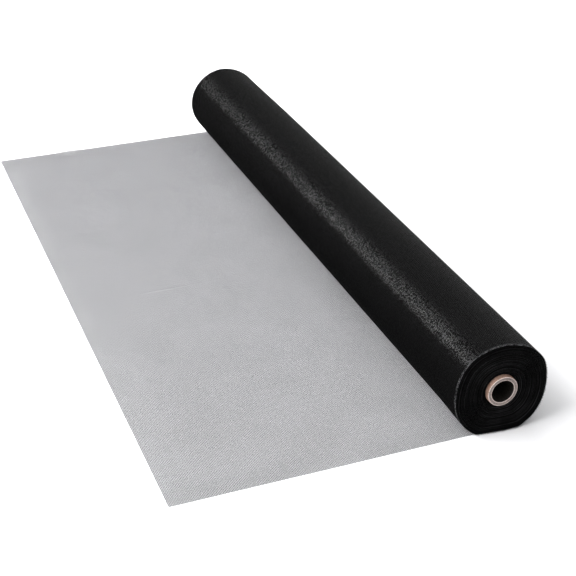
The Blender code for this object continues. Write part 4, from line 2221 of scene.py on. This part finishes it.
# The wound cloth's holes are darker still, painted shade where the turns further down show.
WOUND_CLOTH = WoundFinish(
    name="wound_cloth", yarn_colour=SHADED_BLACK, hole_shade_colour=tint(SHADED_BLACK, 0.4)[:3], roughness=0.60,
    relief=0.25 * MM,
)
LAST_TURN_FINISHES = {
    YarnRun.ROUND: ROUND_YARN,
    YarnRun.ALONG: ALONG_YARN,
    YarnRun.CUT: CUT_YARN,
}
PAPER_COLOURS = {
    PaperSide.WALL: ((0.29, 0.183, 0.139), (0.155, 0.07, 0.035)),
    PaperSide.CUT: ((0.325, 0.276, 0.256), (0.11, 0.07, 0.058)),
    # The bore's paper is painted near black: painted shade inside the tube, darker than its brown
    # cardboard.
    PaperSide.BORE: ((0.011, 0.009, 0.007), (0.006, 0.005, 0.004)),
}
TUBE_BORE_RADIUS = 13.5 * MM


def settle(piece: bpy.types.Object, node: str) -> None:
    """Make a piece ride on the object and stand for its solid, which is hidden.

    Args:
        piece: the piece.
        node: the solid that it stands for.
    """
    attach(piece, "root")
    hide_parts(node)
    triangles = sum(len(face.vertices) - 2 for face in piece.data.polygons)
    log.info("%s: %d triangles, for %s", piece.name, triangles, node)


def main() -> None:
    """Build the studio, then the tube, the winding, its last turn and the drawn-out sheet."""
    logging.basicConfig(level=logging.INFO, format="%(name)s: %(message)s")
    Studio().build()
    yarns = Yarns()
    form = RollForm.from_frame()
    groups = Groups(
        mottle=build_mottle(),
        plain_weave=build_plain_weave(),
        under_weave=build_under_weave(form, yarns),
        paper_fibre=build_paper_fibre(),
        highlight_band=build_highlight_band(form),
    )

    tube = CardboardTube.from_frame(inner=TUBE_BORE_RADIUS)
    radii = (tube.inner, tube.outer - tube.pressed)
    papers = {}
    for side, (colour, fleck) in PAPER_COLOURS.items():
        name = f"tube_paper_{side.name.lower()}"
        paper = PaperFinish(name, side, colour, fleck, tube.seam_pitch, tube.centre, radii)
        papers[side] = paper.material(groups)
    settle(tube.build(papers), "core_tube")

    edges = CutEdgeFinish(
        name="cut_cloth_edges", colour=(0.0005, 0.0005, 0.0006), dash_colour=(0.068, 0.068, 0.071),
        dash_pitch=yarns.along_pitch, centre=form.tube_centre,
    )
    wound_cloth = WOUND_CLOTH.material(groups)
    body = WoundBody(form).build(wound_cloth, edges.material(groups))
    settle(body, "wound_roll")
    last = {run: finish.material(groups) for run, finish in LAST_TURN_FINISHES.items()}
    loosened = LoosenedTurns(form).build(wound_cloth, last[YarnRun.CUT])
    settle(loosened, "wound_roll")
    for end in RollEnd:
        settle(LastTurn(form, yarns).build(end, last), "wound_roll")

    sheet = DrawnOutSheet.from_frame(yarns)
    sheet_piece = sheet.build(ACROSS_YARN.material(groups), LENGTHWISE_YARN.material(groups))
    settle(sheet_piece, "loose_sheet")


if __name__ == "__main__":
    main()
